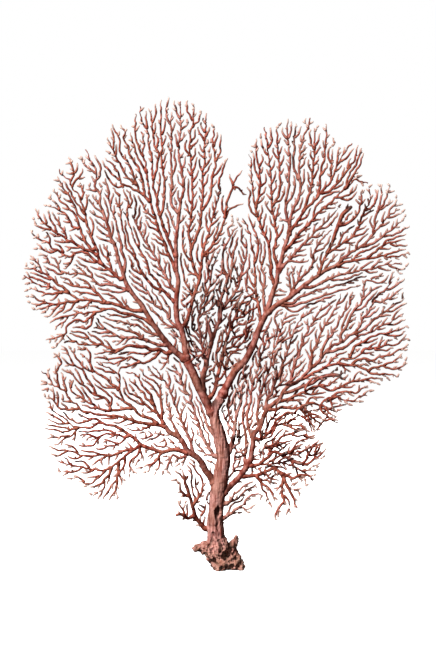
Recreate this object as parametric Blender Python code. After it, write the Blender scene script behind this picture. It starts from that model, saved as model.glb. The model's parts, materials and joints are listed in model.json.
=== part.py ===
"""Sea fan: a dried, branching coral cut off flat where it grew on rock.

Run with blender --background --python part.py, or from Blender's text editor.
It stands on its holdfast at the origin, with +Z up and its broad face looking along -Y.
Sizes below are in millimetres and are turned into metres when the meshes are made.
"""
import math
import random

import bmesh
import bpy
from mathutils import Vector

fanName = "sea_fan"
millimetre = 0.001

# driving sizes
twigRadius = 0.92       # a side twig
tipShare = 0.72         # how thick a tip is against its twig
growthStep = 2.0        # how far a tip grows at a time
thinning = 1.3          # how early a branch gets thin, 1 is evenly along it
trunkThinning = 0.75
twigRoom = 2.75         # the least distance between the middles of two twigs
forkRoom = 3.4          # the room that a new twig needs
forkGap = 6.5           # the least growth between two forks of a twig
aheadRoom = 12.0        # how far on a new twig must find its way clear
depthLead = 50.0        # how far a branch runs before it lies at its own depth
jointGap = 0.3          # space between two pieces at a fork
growthSeed = 7

# how much of the growth the solids show
keptTwigSegments = 236
bendTolerance = 0.55    # how far a solid may cut a bend short

# the lump at the foot: height, then how far it reaches left, right, forward and back
holdfastRings = [
    (0.0, -9.0, 25.0, -17.0, 17.5),
    (4.5, -9.0, 25.0, -18.5, 18.0),
    (11.0, -14.5, 21.0, -18.5, 17.0),
    (17.0, -20.0, 18.5, -16.0, 15.0),
    (22.5, -19.0, 11.5, -12.5, 12.5),
    (27.0, -11.5, 10.0, -10.5, 10.5),
    (33.0, -8.8, 8.8, -9.0, 9.0),
]

# outline that the twigs grow out to, across and up
outline = [
    (-156, 179), (-143, 184), (-150, 207), (-143, 220), (-159, 231), (-168, 238), (-171, 247),
    (-173, 257), (-173, 269), (-169, 281), (-162, 292), (-166, 304), (-162, 323), (-152, 328),
    (-148, 341), (-142, 353), (-139, 361), (-127, 371), (-121, 374), (-116, 378), (-106, 368),
    (-100, 371), (-98, 388), (-94, 400), (-86, 400), (-77, 395), (-73, 411), (-68, 418), (-60, 417),
    (-49, 424), (-32, 423), (-20, 419), (-9, 413), (-2, 402), (4, 394), (5, 381), (10, 368), (7, 357),
    (6, 346), (15, 318), (27, 318), (28, 337), (28, 359), (29, 375), (32, 382), (37, 390), (44, 400),
    (55, 401), (64, 406), (72, 404), (85, 408), (90, 399), (98, 401), (104, 392), (107, 380),
    (122, 384), (128, 382), (133, 374), (130, 359), (134, 348), (148, 346), (156, 346), (163, 335),
    (170, 322), (171, 310), (171, 296), (173, 285), (173, 275), (167, 265), (169, 253), (171, 244),
    (170, 236), (171, 219), (172, 211), (174, 202), (169, 194), (171, 186), (164, 173), (146, 166),
    (135, 154), (125, 148), (113, 148), (110, 133), (97, 134), (92, 125), (86, 122), (94, 118),
    (101, 111), (94, 98), (87, 78), (75, 73), (73, 55), (62, 51), (53, 44), (49, 55), (41, 64),
    (31, 51), (22, 51), (9, 44), (5, 35), (-7, 33), (-27, 44), (-36, 48), (-36, 80), (-46, 84),
    (-59, 86), (-74, 86), (-83, 76), (-86, 64), (-97, 62), (-112, 68), (-124, 79), (-140, 87),
    (-144, 98), (-151, 110), (-146, 116), (-153, 125), (-151, 136), (-151, 149), (-158, 166),
]

solidNames = []
branches = []
byName = {}


class Branch:
    """One stem: its line in millimetres, its radius along the line and what grows from it."""

    def __init__(self, name, piece, parent, at):
        self.name = name
        self.piece = piece
        self.parent = parent
        self.at = at
        self.line = []
        self.radii = []
        self.kids = []
        self.traced = False
        self.bornSide = 0
        self.firstRing = 0
        if parent:
            parent.kids.append(self)


def evenLine(points, gap):
    """The same line as a smooth curve with evenly spaced points."""
    dense = []
    for i in range(len(points) - 1):
        a = points[max(i - 1, 0)]
        b = points[i]
        c = points[i + 1]
        d = points[min(i + 2, len(points) - 1)]
        for k in range(6):
            t = k / 6
            dense.append(0.5 * ((2 * b) + (c - a) * t + (2 * a - 5 * b + 4 * c - d) * t * t
                                + (3 * b - a - 3 * c + d) * t ** 3))
    dense.append(points[-1])
    lengths = [0.0]
    for i in range(1, len(dense)):
        lengths.append(lengths[-1] + (dense[i] - dense[i - 1]).length)
    count = max(2, round(lengths[-1] / gap))
    spaced = []
    k = 0
    for i in range(count + 1):
        along = lengths[-1] * i / count
        while k < len(lengths) - 2 and lengths[k + 1] < along:
            k += 1
        share = (along - lengths[k]) / max(1e-9, lengths[k + 1] - lengths[k])
        spaced.append(dense[k].lerp(dense[k + 1], share))
    return spaced, lengths[-1]


def limb(name, parentName, piece, depth, footRadius, tipRadius, *points):
    """A stem traced by eye: depth is where its far part lies in Y, points are across and up."""
    parent = byName.get(parentName)
    flat = [Vector((x, 0.0, z)) for x, z in points]
    line, length = evenLine(flat, growthStep)
    at = 0
    startDepth = 0.0
    if parent:
        at = min(range(len(parent.line)),
                 key=lambda i: math.hypot(parent.line[i].x - line[0].x, parent.line[i].z - line[0].z))
        startDepth = parent.line[at].y
    stem = Branch(name, piece, parent, at)
    stem.traced = True
    last = len(line) - 1
    lead = min(length, depthLead)
    for i, point in enumerate(line):
        share = min(1.0, length * i / last / lead)
        share = share * share * (3 - 2 * share)
        point.y = startDepth + (depth - startDepth) * share
        stem.line.append(point)
        slimming = (1 - i / last) ** (thinning if parent else trunkThinning)
        stem.radii.append(tipRadius + (footRadius - tipRadius) * slimming)
    branches.append(stem)
    byName[name] = stem


# stems traced from the fan: name, what it grows from, its piece, depth, foot and tip radius, line

limb("trunk", None, "trunk", 0, 8.5, 4.3,
     (0, 0), (0, 12), (0, 26), (0, 35), (-1, 44), (0, 53), (1, 62), (2, 71), (4, 80), (5, 89), (7, 98),
     (6, 107), (4, 116), (2, 125), (-1, 134), (-2, 142), (1, 148), (5, 154))
limb("leftLimb", "trunk", "left_limb", 0, 4.0, 4.0,
     (-2, 137), (-9, 151), (-14, 161), (-18, 170), (-22, 179), (-26, 187))
limb("leftOuter", "leftLimb", "left_outer_limb", -8, 3.1, 0.75,
     (-26, 187), (-32, 192), (-37, 196), (-41, 200), (-46, 206), (-51, 213), (-57, 221),
     (-62, 230), (-67, 238), (-72, 244), (-77, 251), (-81, 258), (-83, 266), (-86, 274),
     (-88, 281), (-90, 289), (-94, 298), (-96, 307), (-99, 315), (-101, 322), (-104, 329),
     (-104, 336), (-108, 342), (-108, 348), (-107, 354), (-109, 360), (-112, 367), (-115, 373),
     (-117, 377))
limb("leftOuterA", "leftOuter", "left_shoulder_fan", -11, 1.6, 0.75,
     (-86, 260), (-94, 268), (-100, 272), (-104, 278), (-107, 288), (-111, 296), (-113, 304),
     (-116, 312), (-117, 321), (-120, 329), (-122, 336), (-127, 340), (-130, 345), (-131, 350),
     (-137, 353), (-140, 359))
limb("leftOuterA2", "leftOuterA", "left_shoulder_fan", -13, 1.1, 0.75,
     (-116, 312), (-120, 314), (-123, 319), (-126, 326), (-130, 332), (-133, 338), (-136, 342),
     (-140, 349), (-141, 352))
limb("leftOuterA3", "leftOuterA", "left_shoulder_fan", -12, 1.4, 0.75,
     (-111, 287), (-116, 293), (-119, 299), (-121, 305), (-123, 312), (-126, 318), (-130, 322),
     (-134, 327), (-138, 329), (-140, 333), (-143, 338), (-146, 340))
limb("leftOuterA4", "leftOuterA3", "left_shoulder_fan", -14, 1.1, 0.75,
     (-121, 306), (-128, 307), (-130, 313), (-135, 319), (-140, 322), (-144, 324), (-148, 327))
limb("leftOuterD", "leftOuterA", "left_shoulder_fan", -14, 1.4, 0.75,
     (-105, 281), (-113, 286), (-119, 288), (-124, 291), (-130, 294), (-134, 297), (-139, 300),
     (-143, 302), (-148, 306), (-152, 310), (-156, 313), (-159, 319), (-162, 323))
limb("leftOuterE", "leftOuterA", "left_shoulder_fan", -9, 1.3, 0.75,
     (-102, 274), (-109, 278), (-115, 284), (-122, 285), (-127, 283), (-131, 281), (-137, 284),
     (-142, 287), (-147, 288), (-150, 293), (-155, 295), (-160, 298), (-164, 302), (-166, 304))
limb("leftOuterB", "leftOuter", "left_side_fan", -12, 1.9, 0.75,
     (-64, 233), (-71, 232), (-79, 234), (-86, 237), (-94, 239), (-100, 239), (-107, 241),
     (-115, 242), (-122, 242), (-128, 245), (-132, 248), (-140, 250), (-148, 253), (-155, 254),
     (-160, 256), (-165, 259), (-171, 264))
limb("leftOuterB2", "leftOuterB", "left_side_fan", -14, 1.4, 0.75,
     (-122, 242), (-126, 240), (-133, 240), (-140, 238), (-149, 239), (-154, 241), (-158, 242),
     (-162, 245), (-165, 247))
limb("leftOuterB3", "leftOuterB", "left_side_fan", -9, 1.3, 0.75,
     (-98, 239), (-104, 246), (-109, 250), (-113, 253), (-119, 254), (-125, 254), (-131, 256),
     (-137, 258))
limb("leftOuterB4", "leftOuter", "left_outer_limb", -11, 1.4, 0.75,
     (-76, 250), (-85, 253), (-92, 255), (-97, 256), (-103, 255), (-108, 259), (-113, 263),
     (-119, 265), (-125, 266), (-130, 265), (-135, 266), (-139, 268), (-143, 272), (-148, 274),
     (-152, 277))
limb("leftOuterB5", "leftOuterB", "left_side_fan", -12, 1.3, 0.75,
     (-131, 248), (-136, 253), (-141, 256), (-146, 260), (-149, 263), (-155, 266), (-157, 271),
     (-159, 275), (-163, 279), (-166, 282))
limb("leftOuterB6", "leftOuterB5", "left_side_fan", -13, 1.0, 0.75,
     (-154, 266), (-158, 267), (-162, 270), (-166, 270), (-171, 270))
limb("leftOuterB7", "leftOuterB", "left_side_fan", -10, 1.2, 0.75,
     (-136, 249), (-142, 248), (-148, 247), (-154, 248), (-160, 250), (-165, 253))
limb("leftOuterC4", "leftOuter", "left_middle_fan", -14, 1.6, 0.75,
     (-57, 220), (-63, 224), (-69, 227), (-76, 229), (-83, 231), (-88, 232), (-94, 234),
     (-102, 232), (-109, 231), (-115, 230), (-122, 230), (-130, 228), (-134, 224), (-138, 220),
     (-142, 219))
limb("leftOuterC5", "leftOuterC4", "left_middle_fan", -17, 1.2, 0.75,
     (-107, 231), (-112, 226), (-117, 223), (-122, 224), (-127, 223), (-131, 220), (-133, 217),
     (-134, 212), (-139, 209), (-145, 207), (-151, 206))
limb("leftOuterC2", "leftOuter", "left_outer_limb", -11, 1.4, 0.75,
     (-50, 210), (-57, 212), (-63, 214), (-70, 219), (-77, 220), (-85, 223), (-93, 224),
     (-99, 226), (-104, 229))
limb("leftOuterC1", "leftOuter", "left_outer_limb", -8, 1.6, 0.85,
     (-43, 202), (-50, 201), (-55, 203), (-60, 205), (-67, 207), (-76, 209), (-85, 208),
     (-91, 211), (-96, 214), (-102, 219), (-105, 223), (-107, 226))
limb("leftOuterC6", "leftOuterC1", "left_outer_limb", -9, 1.3, 0.75,
     (-65, 207), (-71, 212), (-79, 214), (-86, 217), (-92, 217), (-96, 220), (-101, 222))
limb("leftOuterC7", "leftOuter", "left_under_fan", -12, 2.0, 0.8,
     (-39, 197), (-44, 194), (-51, 198), (-57, 197), (-63, 200), (-70, 200), (-77, 201),
     (-85, 198), (-90, 197), (-95, 199), (-101, 202), (-107, 202), (-113, 202), (-121, 202),
     (-125, 205), (-130, 207), (-134, 210))
limb("leftOuterC8", "leftOuterC7", "left_under_fan", -14, 1.2, 0.75,
     (-85, 198), (-90, 195), (-95, 196), (-102, 195), (-109, 194))
limb("leftOuterC9", "leftOuterC7", "left_under_fan", -16, 1.3, 0.75,
     (-50, 197), (-53, 193), (-58, 188), (-66, 186), (-74, 190), (-79, 190), (-85, 187),
     (-90, 185), (-95, 186), (-101, 186))
limb("leftOuterC10", "leftOuterC9", "left_under_fan", -14, 1.2, 0.75,
     (-67, 187), (-73, 185), (-79, 183), (-85, 181), (-88, 176))
limb("leftInner", "leftLimb", "left_inner_limb", 6, 3.1, 0.75,
     (-26, 187), (-27, 194), (-28, 200), (-29, 206), (-31, 215), (-35, 224), (-36, 233),
     (-36, 242), (-35, 251), (-34, 260), (-36, 269), (-36, 278), (-36, 287), (-36, 296),
     (-35, 305), (-34, 314), (-33, 323), (-32, 332), (-29, 341), (-30, 352), (-32, 364),
     (-34, 377), (-32, 391), (-32, 404), (-32, 413), (-32, 422))
limb("leftInnerM1", "leftInner", "left_crown_fan", 2, 1.7, 0.75,
     (-36, 267), (-39, 276), (-43, 284), (-46, 292), (-49, 298), (-52, 307), (-55, 318),
     (-58, 325), (-59, 332), (-60, 339), (-61, 346), (-62, 355), (-63, 364), (-65, 371),
     (-66, 376), (-64, 382), (-66, 388), (-68, 394))
limb("leftInnerM2", "leftInnerM1", "left_crown_fan", -2, 1.3, 0.75,
     (-59, 330), (-64, 336), (-65, 341), (-66, 348), (-68, 356), (-71, 363), (-75, 368),
     (-78, 375), (-80, 381), (-83, 386), (-82, 392), (-84, 396), (-86, 400))
limb("leftInnerM3", "leftInnerM2", "left_crown_fan", -4, 1.2, 0.75,
     (-64, 336), (-69, 340), (-71, 346), (-74, 354), (-76, 360), (-79, 366), (-84, 371),
     (-86, 377), (-86, 384), (-88, 390), (-91, 395), (-93, 400))
limb("leftInnerM4", "leftInnerM3", "left_crown_fan", -6, 1.2, 0.75,
     (-71, 346), (-77, 350), (-82, 356), (-86, 364), (-90, 371), (-93, 377), (-95, 383),
     (-97, 388))
limb("leftInnerM5", "leftInnerM3", "left_crown_fan", -3, 1.1, 0.75,
     (-68, 339), (-74, 342), (-79, 345), (-85, 347), (-87, 353), (-89, 359), (-93, 364),
     (-97, 366), (-100, 370))
limb("leftInnerN1", "leftInner", "middle_crown_fan", 4, 1.6, 0.75,
     (-36, 280), (-40, 289), (-43, 296), (-46, 304), (-49, 312), (-51, 320), (-53, 328),
     (-54, 336), (-56, 343), (-57, 352), (-58, 361), (-58, 370), (-59, 377), (-61, 384),
     (-61, 392), (-64, 399), (-67, 404), (-68, 411), (-68, 417))
limb("leftInnerN2", "leftInnerN1", "middle_crown_fan", 8, 1.3, 0.75,
     (-57, 350), (-54, 358), (-53, 366), (-52, 374), (-55, 381), (-56, 388), (-57, 395),
     (-58, 402), (-59, 410), (-61, 416))
limb("leftInnerN3", "leftInnerN1", "middle_crown_fan", 6, 1.3, 0.75,
     (-51, 317), (-48, 325), (-47, 333), (-46, 341), (-46, 350), (-48, 359), (-49, 368),
     (-49, 377), (-49, 386), (-50, 395), (-50, 404), (-50, 413), (-49, 423))
limb("leftInnerN4", "leftInnerM1", "left_crown_fan", 0, 1.2, 0.75,
     (-62, 356), (-66, 363), (-69, 368), (-72, 375), (-74, 382), (-76, 388), (-77, 393))
limb("leftInnerN5", "leftInnerM1", "left_crown_fan", 0, 1.1, 0.75,
     (-65, 371), (-69, 377), (-71, 383), (-72, 390), (-73, 397), (-73, 404), (-73, 410))
limb("leftInnerO1", "leftInner", "notch_fan", 10, 2.0, 0.75,
     (-29, 218), (-26, 224), (-24, 231), (-22, 239), (-19, 249), (-16, 258), (-14, 266),
     (-13, 276), (-12, 287), (-9, 296), (-6, 305), (-4, 314), (-1, 325), (2, 334), (3, 339),
     (5, 346))
limb("leftInnerO2", "leftInnerO1", "notch_fan", 14, 1.4, 0.75,
     (-12, 282), (-7, 287), (-3, 293), (3, 302), (9, 318), (13, 325), (19, 328), (25, 330))
limb("leftInnerO3", "leftInnerO1", "right_crown_fan", 8, 1.4, 0.75,
     (-15, 261), (-19, 269), (-22, 277), (-23, 285), (-23, 294), (-25, 303), (-23, 314),
     (-22, 325), (-21, 337), (-22, 350), (-22, 359), (-23, 373), (-24, 384), (-23, 393),
     (-21, 404), (-20, 418))
limb("leftInnerO4", "leftInnerO3", "right_crown_fan", 11, 1.4, 0.75,
     (-23, 287), (-19, 296), (-16, 305), (-14, 314), (-13, 325), (-12, 336), (-12, 346),
     (-12, 357), (-10, 368), (-11, 379), (-10, 390), (-9, 400), (-9, 412))
limb("leftInnerO5", "leftInnerO4", "right_crown_fan", 13, 1.3, 0.75,
     (-13, 323), (-7, 332), (-4, 341), (-4, 352), (-1, 363), (-1, 374), (-3, 384), (-2, 393),
     (-2, 401))
limb("leftInnerO6", "leftInnerO5", "right_crown_fan", 11, 1.1, 0.75,
     (-1, 368), (4, 375), (4, 382), (4, 388), (4, 393))
limb("leftInnerP1", "leftInner", "left_inner_limb", 8, 1.4, 0.75,
     (-36, 249), (-41, 256), (-46, 265), (-50, 271), (-54, 279), (-58, 285), (-62, 292),
     (-66, 298), (-69, 305), (-73, 312), (-76, 320))
limb("leftInnerP2", "leftInner", "left_heart_fan", 0, 1.5, 0.75,
     (-36, 239), (-42, 245), (-48, 251), (-52, 258), (-58, 264), (-61, 271), (-64, 280),
     (-68, 287), (-72, 293), (-75, 300), (-77, 307), (-80, 316), (-83, 322))
limb("leftInnerP3", "leftInnerP2", "left_heart_fan", -4, 1.4, 0.75,
     (-48, 251), (-55, 253), (-59, 257), (-64, 263), (-68, 269), (-70, 276), (-74, 282),
     (-78, 285), (-81, 291), (-82, 298), (-84, 305), (-85, 313), (-86, 321), (-86, 329),
     (-86, 337))
limb("leftInnerP4", "leftInner", "left_inner_limb", 3, 1.4, 0.75,
     (-32, 215), (-40, 222), (-45, 230), (-50, 238), (-53, 245), (-57, 249), (-58, 253))
limb("leftInnerP5", "leftInnerP4", "left_inner_limb", -3, 1.2, 0.75,
     (-48, 234), (-54, 237), (-58, 243), (-62, 249), (-66, 256), (-68, 262))
limb("leftInnerQ1", "leftInner", "left_inner_limb", 9, 1.4, 0.75,
     (-33, 320), (-40, 328), (-41, 338), (-40, 346), (-40, 356), (-41, 364), (-41, 374),
     (-40, 382), (-40, 393), (-41, 404), (-40, 413))
limb("leftOuterR1", "leftOuter", "left_outer_limb", -4, 1.6, 0.75,
     (-83, 266), (-81, 276), (-84, 285), (-85, 293), (-87, 300), (-89, 308), (-91, 316),
     (-94, 323), (-95, 329), (-98, 335), (-100, 339))
limb("centre", "leftLimb", "centre_limb", 15, 2.9, 2.0,
     (-12, 158), (-12, 168), (-11, 176), (-9, 182), (-8, 190), (-6, 197), (-4, 206), (-6, 215),
     (-8, 223))
limb("centre1", "centre", "centre_limb", 18, 1.8, 1.1,
     (-5, 202), (-2, 210), (1, 218), (3, 226), (3, 235), (5, 244), (8, 253), (11, 262), (14, 271),
     (15, 282), (18, 291), (20, 300))
limb("centre2", "centre", "centre_limb", 12, 1.4, 0.75,
     (-7, 192), (-12, 199), (-14, 208), (-15, 216), (-16, 225), (-14, 234), (-11, 242), (-8, 250),
     (-5, 258), (-4, 267), (-2, 276), (1, 284))
limb("centre3", "centre1", "centre_limb", 22, 1.4, 0.75,
     (3, 231), (9, 238), (14, 244), (19, 252), (22, 261), (25, 271), (27, 281), (28, 291),
     (26, 300))
limb("centre4", "centre1", "centre_limb", 14, 1.3, 0.75,
     (11, 262), (7, 271), (6, 280), (7, 289), (11, 296), (14, 303), (20, 309))
limb("centre5", "leftLimb", "back_fan", 16, 2.0, 1.1,
     (-8, 152), (-4, 156), (-1, 161), (0, 167), (2, 175), (4, 183), (6, 192), (8, 201), (11, 210),
     (14, 219), (18, 228), (22, 237), (26, 244))
limb("centre6", "centre5", "back_fan", 12, 1.4, 0.75,
     (3, 181), (0, 190), (1, 199), (3, 208), (5, 215))
limb("rightLimb", "trunk", "right_limb", 3, 3.8, 0.75,
     (5, 154), (8, 161), (13, 171), (18, 179), (26, 187), (31, 196), (35, 205), (38, 214),
     (42, 223), (46, 232), (49, 241), (52, 251), (55, 260), (56, 269), (59, 278), (61, 287),
     (64, 296), (66, 305), (67, 315), (70, 325), (75, 335), (76, 346), (75, 359), (76, 377),
     (79, 389), (84, 400), (85, 407))
limb("right1", "rightLimb", "right_top_left_fan", 10, 1.7, 0.75,
     (53, 256), (50, 265), (50, 274), (49, 283), (48, 290), (46, 298), (42, 306), (39, 314),
     (36, 325), (34, 336), (33, 346), (32, 357), (32, 368), (30, 375))
limb("right2", "right1", "right_top_left_fan", 12, 1.3, 0.75,
     (36, 325), (38, 336), (40, 346), (40, 357), (38, 368), (36, 378), (37, 389))
limb("right3", "rightLimb", "right_top_fan", 7, 1.5, 0.75,
     (57, 269), (54, 277), (52, 286), (54, 294), (55, 303), (53, 312), (51, 325), (50, 337),
     (50, 348), (49, 361), (47, 374), (46, 386), (44, 399))
limb("right4", "right3", "right_top_fan", 9, 1.2, 0.75,
     (51, 327), (56, 336), (58, 346), (58, 357), (57, 370), (56, 381), (55, 392), (55, 400))
limb("right5", "rightLimb", "right_limb", 0, 1.4, 0.75,
     (67, 309), (63, 320), (63, 330), (65, 341), (66, 352), (67, 363), (66, 374), (65, 384),
     (64, 394), (64, 405))
limb("right6", "rightLimb", "right_limb", 5, 1.3, 0.75,
     (75, 350), (71, 359), (70, 370), (71, 381), (71, 392), (72, 402))
limb("right7", "rightLimb", "right_top_right_fan", -3, 1.6, 0.75,
     (66, 300), (68, 306), (73, 312), (78, 320), (82, 326), (87, 330), (93, 337), (97, 342),
     (102, 346), (105, 353), (108, 361), (112, 368), (117, 376), (122, 383))
limb("right8", "right7", "right_top_right_fan", -5, 1.3, 0.75,
     (94, 338), (101, 339), (106, 344), (112, 350), (116, 356), (121, 363), (124, 368), (126, 375),
     (128, 381))
limb("right9", "right7", "right_top_right_fan", -1, 1.4, 0.75,
     (78, 320), (81, 329), (84, 338), (86, 347), (87, 357), (88, 367), (89, 377), (89, 388),
     (88, 397))
limb("right10", "right7", "right_top_right_fan", -2, 1.3, 0.75,
     (91, 334), (93, 344), (94, 354), (96, 364), (98, 374), (99, 382), (99, 392), (98, 400))
limb("right11", "right7", "right_top_right_fan", -3, 1.1, 0.75,
     (104, 349), (103, 359), (104, 368), (105, 378))
limb("right12", "rightLimb", "right_shoulder_fan", -5, 1.7, 0.75,
     (61, 286), (67, 292), (72, 298), (77, 304), (83, 310), (89, 317), (95, 323), (101, 328),
     (106, 333), (112, 338), (119, 344), (125, 350), (130, 348), (136, 346))
limb("right13", "right12", "right_shoulder_fan", -7, 1.3, 0.75,
     (115, 341), (120, 348), (124, 354), (128, 361), (130, 368), (132, 374))
limb("right14", "rightLimb", "right_limb", -2, 1.6, 0.75,
     (56, 266), (61, 273), (67, 279), (72, 285), (77, 291), (83, 296), (88, 302), (94, 308),
     (100, 313), (105, 319), (110, 325))
limb("right15", "rightLimb", "right_heart_fan", 12, 1.5, 0.75,
     (41, 222), (39, 233), (37, 243), (36, 253), (36, 263), (35, 273), (34, 283), (32, 292),
     (31, 301), (28, 310), (24, 317))
limb("right16", "right15", "right_heart_fan", 14, 1.3, 0.75,
     (35, 276), (38, 287), (38, 296), (36, 304), (32, 312), (29, 321))
limb("right17", "rightLimb", "right_limb", 9, 1.4, 0.75,
     (45, 230), (43, 240), (43, 251), (44, 261), (42, 270), (40, 280), (41, 290), (40, 298))
limb("rightOuter", "rightLimb", "right_outer_limb", -6, 2.6, 0.8,
     (46, 230), (54, 237), (60, 241), (67, 245), (73, 250), (79, 255), (86, 260), (92, 264),
     (97, 268), (103, 271), (108, 273), (112, 277), (117, 282), (123, 286), (130, 290), (136, 295),
     (141, 302), (148, 310), (153, 316), (158, 320), (162, 324))
limb("rightOuter1", "rightOuter", "right_outer_limb", -9, 1.5, 0.75,
     (67, 245), (70, 253), (74, 259), (78, 264), (83, 268), (86, 276), (88, 285), (93, 293),
     (98, 300), (104, 305))
limb("rightOuter2", "rightOuter", "right_outer_top_fan", -3, 1.5, 0.75,
     (92, 264), (95, 274), (99, 283), (104, 287), (111, 291), (116, 295), (122, 298), (126, 305),
     (130, 314), (133, 322), (138, 330), (138, 338), (137, 343))
limb("rightOuter3", "rightOuter2", "right_outer_top_fan", -8, 1.2, 2.1,
     (99, 283), (104, 293), (107, 302), (110, 310), (113, 318), (118, 323), (122, 326))
limb("rightOuter4", "rightOuter3", "right_outer_top_fan", -11, 1.4, 0.75,
     (109, 309), (117, 310), (124, 315), (128, 324), (130, 333), (130, 341))
limb("rightOuter5", "rightOuter", "right_outer_side_fan", -8, 1.4, 0.75,
     (104, 271), (110, 273), (117, 276), (124, 277), (135, 279), (148, 281), (157, 280),
     (164, 281), (171, 285))
limb("rightOuter6", "rightOuter5", "right_outer_side_fan", -11, 1.2, 0.75,
     (135, 279), (142, 285), (149, 290), (157, 293), (163, 295), (169, 296))
limb("rightOuter7", "rightOuter", "right_outer_limb", -9, 1.4, 0.75,
     (130, 290), (137, 291), (144, 295), (151, 301), (158, 305), (163, 310), (168, 313))
limb("rightOuter8", "rightOuter", "right_outer_limb", -4, 1.3, 0.75,
     (141, 302), (142, 311), (144, 320), (147, 329), (148, 338), (148, 346))
limb("rightOuter9", "rightOuter8", "right_outer_limb", -6, 1.1, 0.75,
     (144, 320), (149, 327), (153, 335), (156, 344))
limb("rightOuter10", "rightOuter", "right_outer_limb", -11, 1.5, 0.75,
     (78, 254), (86, 253), (93, 257), (100, 260), (107, 263), (115, 265), (123, 267), (131, 269),
     (140, 270), (149, 273), (158, 274), (166, 275))
limb("rightOuter11", "rightOuter", "right_outer_limb", -5, 1.4, 0.75,
     (60, 240), (68, 239), (75, 244), (82, 247), (89, 250), (96, 252), (104, 254), (112, 256),
     (120, 259), (127, 262), (135, 264))
limb("rightOuter12", "rightOuter", "right_outer_limb", -12, 1.4, 0.75,
     (58, 238), (62, 237), (68, 236), (74, 238), (80, 240), (87, 243), (94, 245), (103, 248),
     (110, 250), (118, 252), (125, 254))
limb("lowerRight", "trunk", "lower_right_limb", -9, 3.1, 0.8,
     (3, 65), (9, 71), (14, 76), (20, 82), (24, 88), (28, 93), (31, 100), (32, 107), (33, 114),
     (34, 122), (38, 127), (41, 132), (43, 139), (46, 144), (50, 148), (57, 154), (60, 160),
     (67, 166), (73, 169), (78, 174), (84, 180), (89, 184), (94, 190), (98, 196), (104, 201),
     (112, 204), (118, 209), (123, 212), (128, 218), (131, 224), (136, 231), (139, 237),
     (141, 242), (146, 248), (151, 251), (158, 259))
limb("lowerRight1", "lowerRight", "lower_right_limb", -12, 1.4, 0.75,
     (112, 204), (112, 212), (117, 219), (120, 227), (124, 234), (129, 239), (131, 246),
     (132, 253), (134, 259), (139, 260), (145, 257), (153, 257))
limb("lowerRight2", "lowerRight", "lower_right_limb", -7, 1.5, 0.75,
     (98, 196), (104, 196), (110, 198), (116, 200), (122, 205), (128, 210), (135, 212), (142, 215),
     (148, 219), (155, 222), (162, 226), (168, 230))
limb("lowerRight3", "lowerRight", "lower_right_side_fan", -13, 1.4, 0.8,
     (76, 171), (81, 173), (86, 176), (92, 179), (97, 182), (104, 184), (109, 186), (113, 189),
     (119, 190), (124, 191), (130, 194), (136, 194), (141, 195))
limb("lowerRight4", "lowerRight3", "lower_right_side_fan", -15, 1.3, 0.75,
     (119, 190), (121, 195), (124, 201), (130, 204), (135, 207), (140, 210), (146, 212),
     (153, 213), (162, 215), (169, 219))
limb("lowerRight5", "lowerRight3", "lower_right_side_fan", -11, 1.2, 0.75,
     (130, 194), (132, 198), (139, 198), (146, 200), (151, 202), (157, 202), (162, 202),
     (166, 206), (170, 211))
limb("lowerRight6", "lowerRight3", "lower_right_side_fan", -16, 1.4, 0.75,
     (108, 186), (115, 184), (121, 184), (128, 183), (133, 180), (139, 176), (144, 176),
     (151, 176), (157, 176), (161, 173))
limb("lowerRight7", "lowerRight6", "lower_right_side_fan", -13, 1.3, 0.75,
     (121, 184), (126, 188), (133, 189), (140, 188), (146, 191), (152, 192), (157, 194),
     (162, 197), (167, 199), (172, 202))
limb("lowerRight8", "lowerRight6", "lower_right_side_fan", -18, 1.2, 0.75,
     (135, 178), (140, 181), (145, 182), (149, 183), (155, 181), (161, 181), (166, 183),
     (170, 186))
limb("lowerRight9", "lowerRight8", "lower_right_side_fan", -17, 1.0, 0.75,
     (149, 183), (153, 186), (158, 187), (163, 192), (166, 194))
limb("lowerRight10", "lowerRight", "lower_right_limb", -6, 1.3, 1.9,
     (60, 159), (68, 160), (76, 164), (85, 167), (91, 171), (98, 174), (106, 175), (112, 174))
limb("lowerRight11", "lowerRight", "lower_right_middle_fan", -11, 1.4, 0.75,
     (54, 151), (61, 152), (68, 155), (74, 158), (80, 160), (86, 164), (94, 166), (100, 166),
     (105, 169), (112, 174))
limb("lowerRight12", "lowerRight11", "lower_right_middle_fan", -14, 1.3, 0.75,
     (92, 166), (98, 163), (104, 161), (110, 164), (117, 167), (122, 171), (124, 176), (130, 178))
limb("lowerRight13", "lowerRight", "lower_right_under_fan", -16, 1.6, 0.75,
     (46, 144), (53, 144), (60, 146), (68, 145), (76, 146), (81, 149), (86, 150), (93, 148),
     (96, 152), (101, 155), (108, 155), (113, 153), (121, 152), (126, 155), (130, 157), (135, 157))
limb("lowerRight14", "lowerRight13", "lower_right_under_fan", -18, 1.2, 0.75,
     (103, 155), (108, 159), (113, 160), (121, 160), (126, 159), (130, 164), (135, 166))
limb("lowerRight15", "lowerRight13", "lower_right_under_fan", -19, 1.2, 0.75,
     (93, 148), (94, 143), (98, 139), (104, 135), (109, 133))
limb("lowerRight16", "lowerRight13", "lower_right_under_fan", -14, 1.3, 0.75,
     (75, 146), (79, 140), (83, 135), (84, 130), (86, 125), (90, 126))
limb("lowerRight17", "lowerRight", "lower_right_limb", -5, 1.6, 0.75,
     (84, 180), (85, 188), (87, 196), (91, 204), (94, 212), (98, 220), (103, 227), (106, 234),
     (110, 241), (112, 248))
limb("lowerRight18", "lowerRight", "lower_right_limb", -4, 1.6, 0.75,
     (67, 166), (68, 175), (70, 183), (73, 191), (76, 199), (79, 207), (83, 215), (87, 223),
     (92, 231), (95, 238))
limb("lowerRight19", "lowerRight", "lower_right_limb", -2, 1.6, 0.75,
     (44, 143), (46, 152), (50, 160), (53, 168), (57, 176), (60, 184), (63, 193), (66, 201),
     (68, 209), (72, 217), (76, 225), (79, 232))
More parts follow.
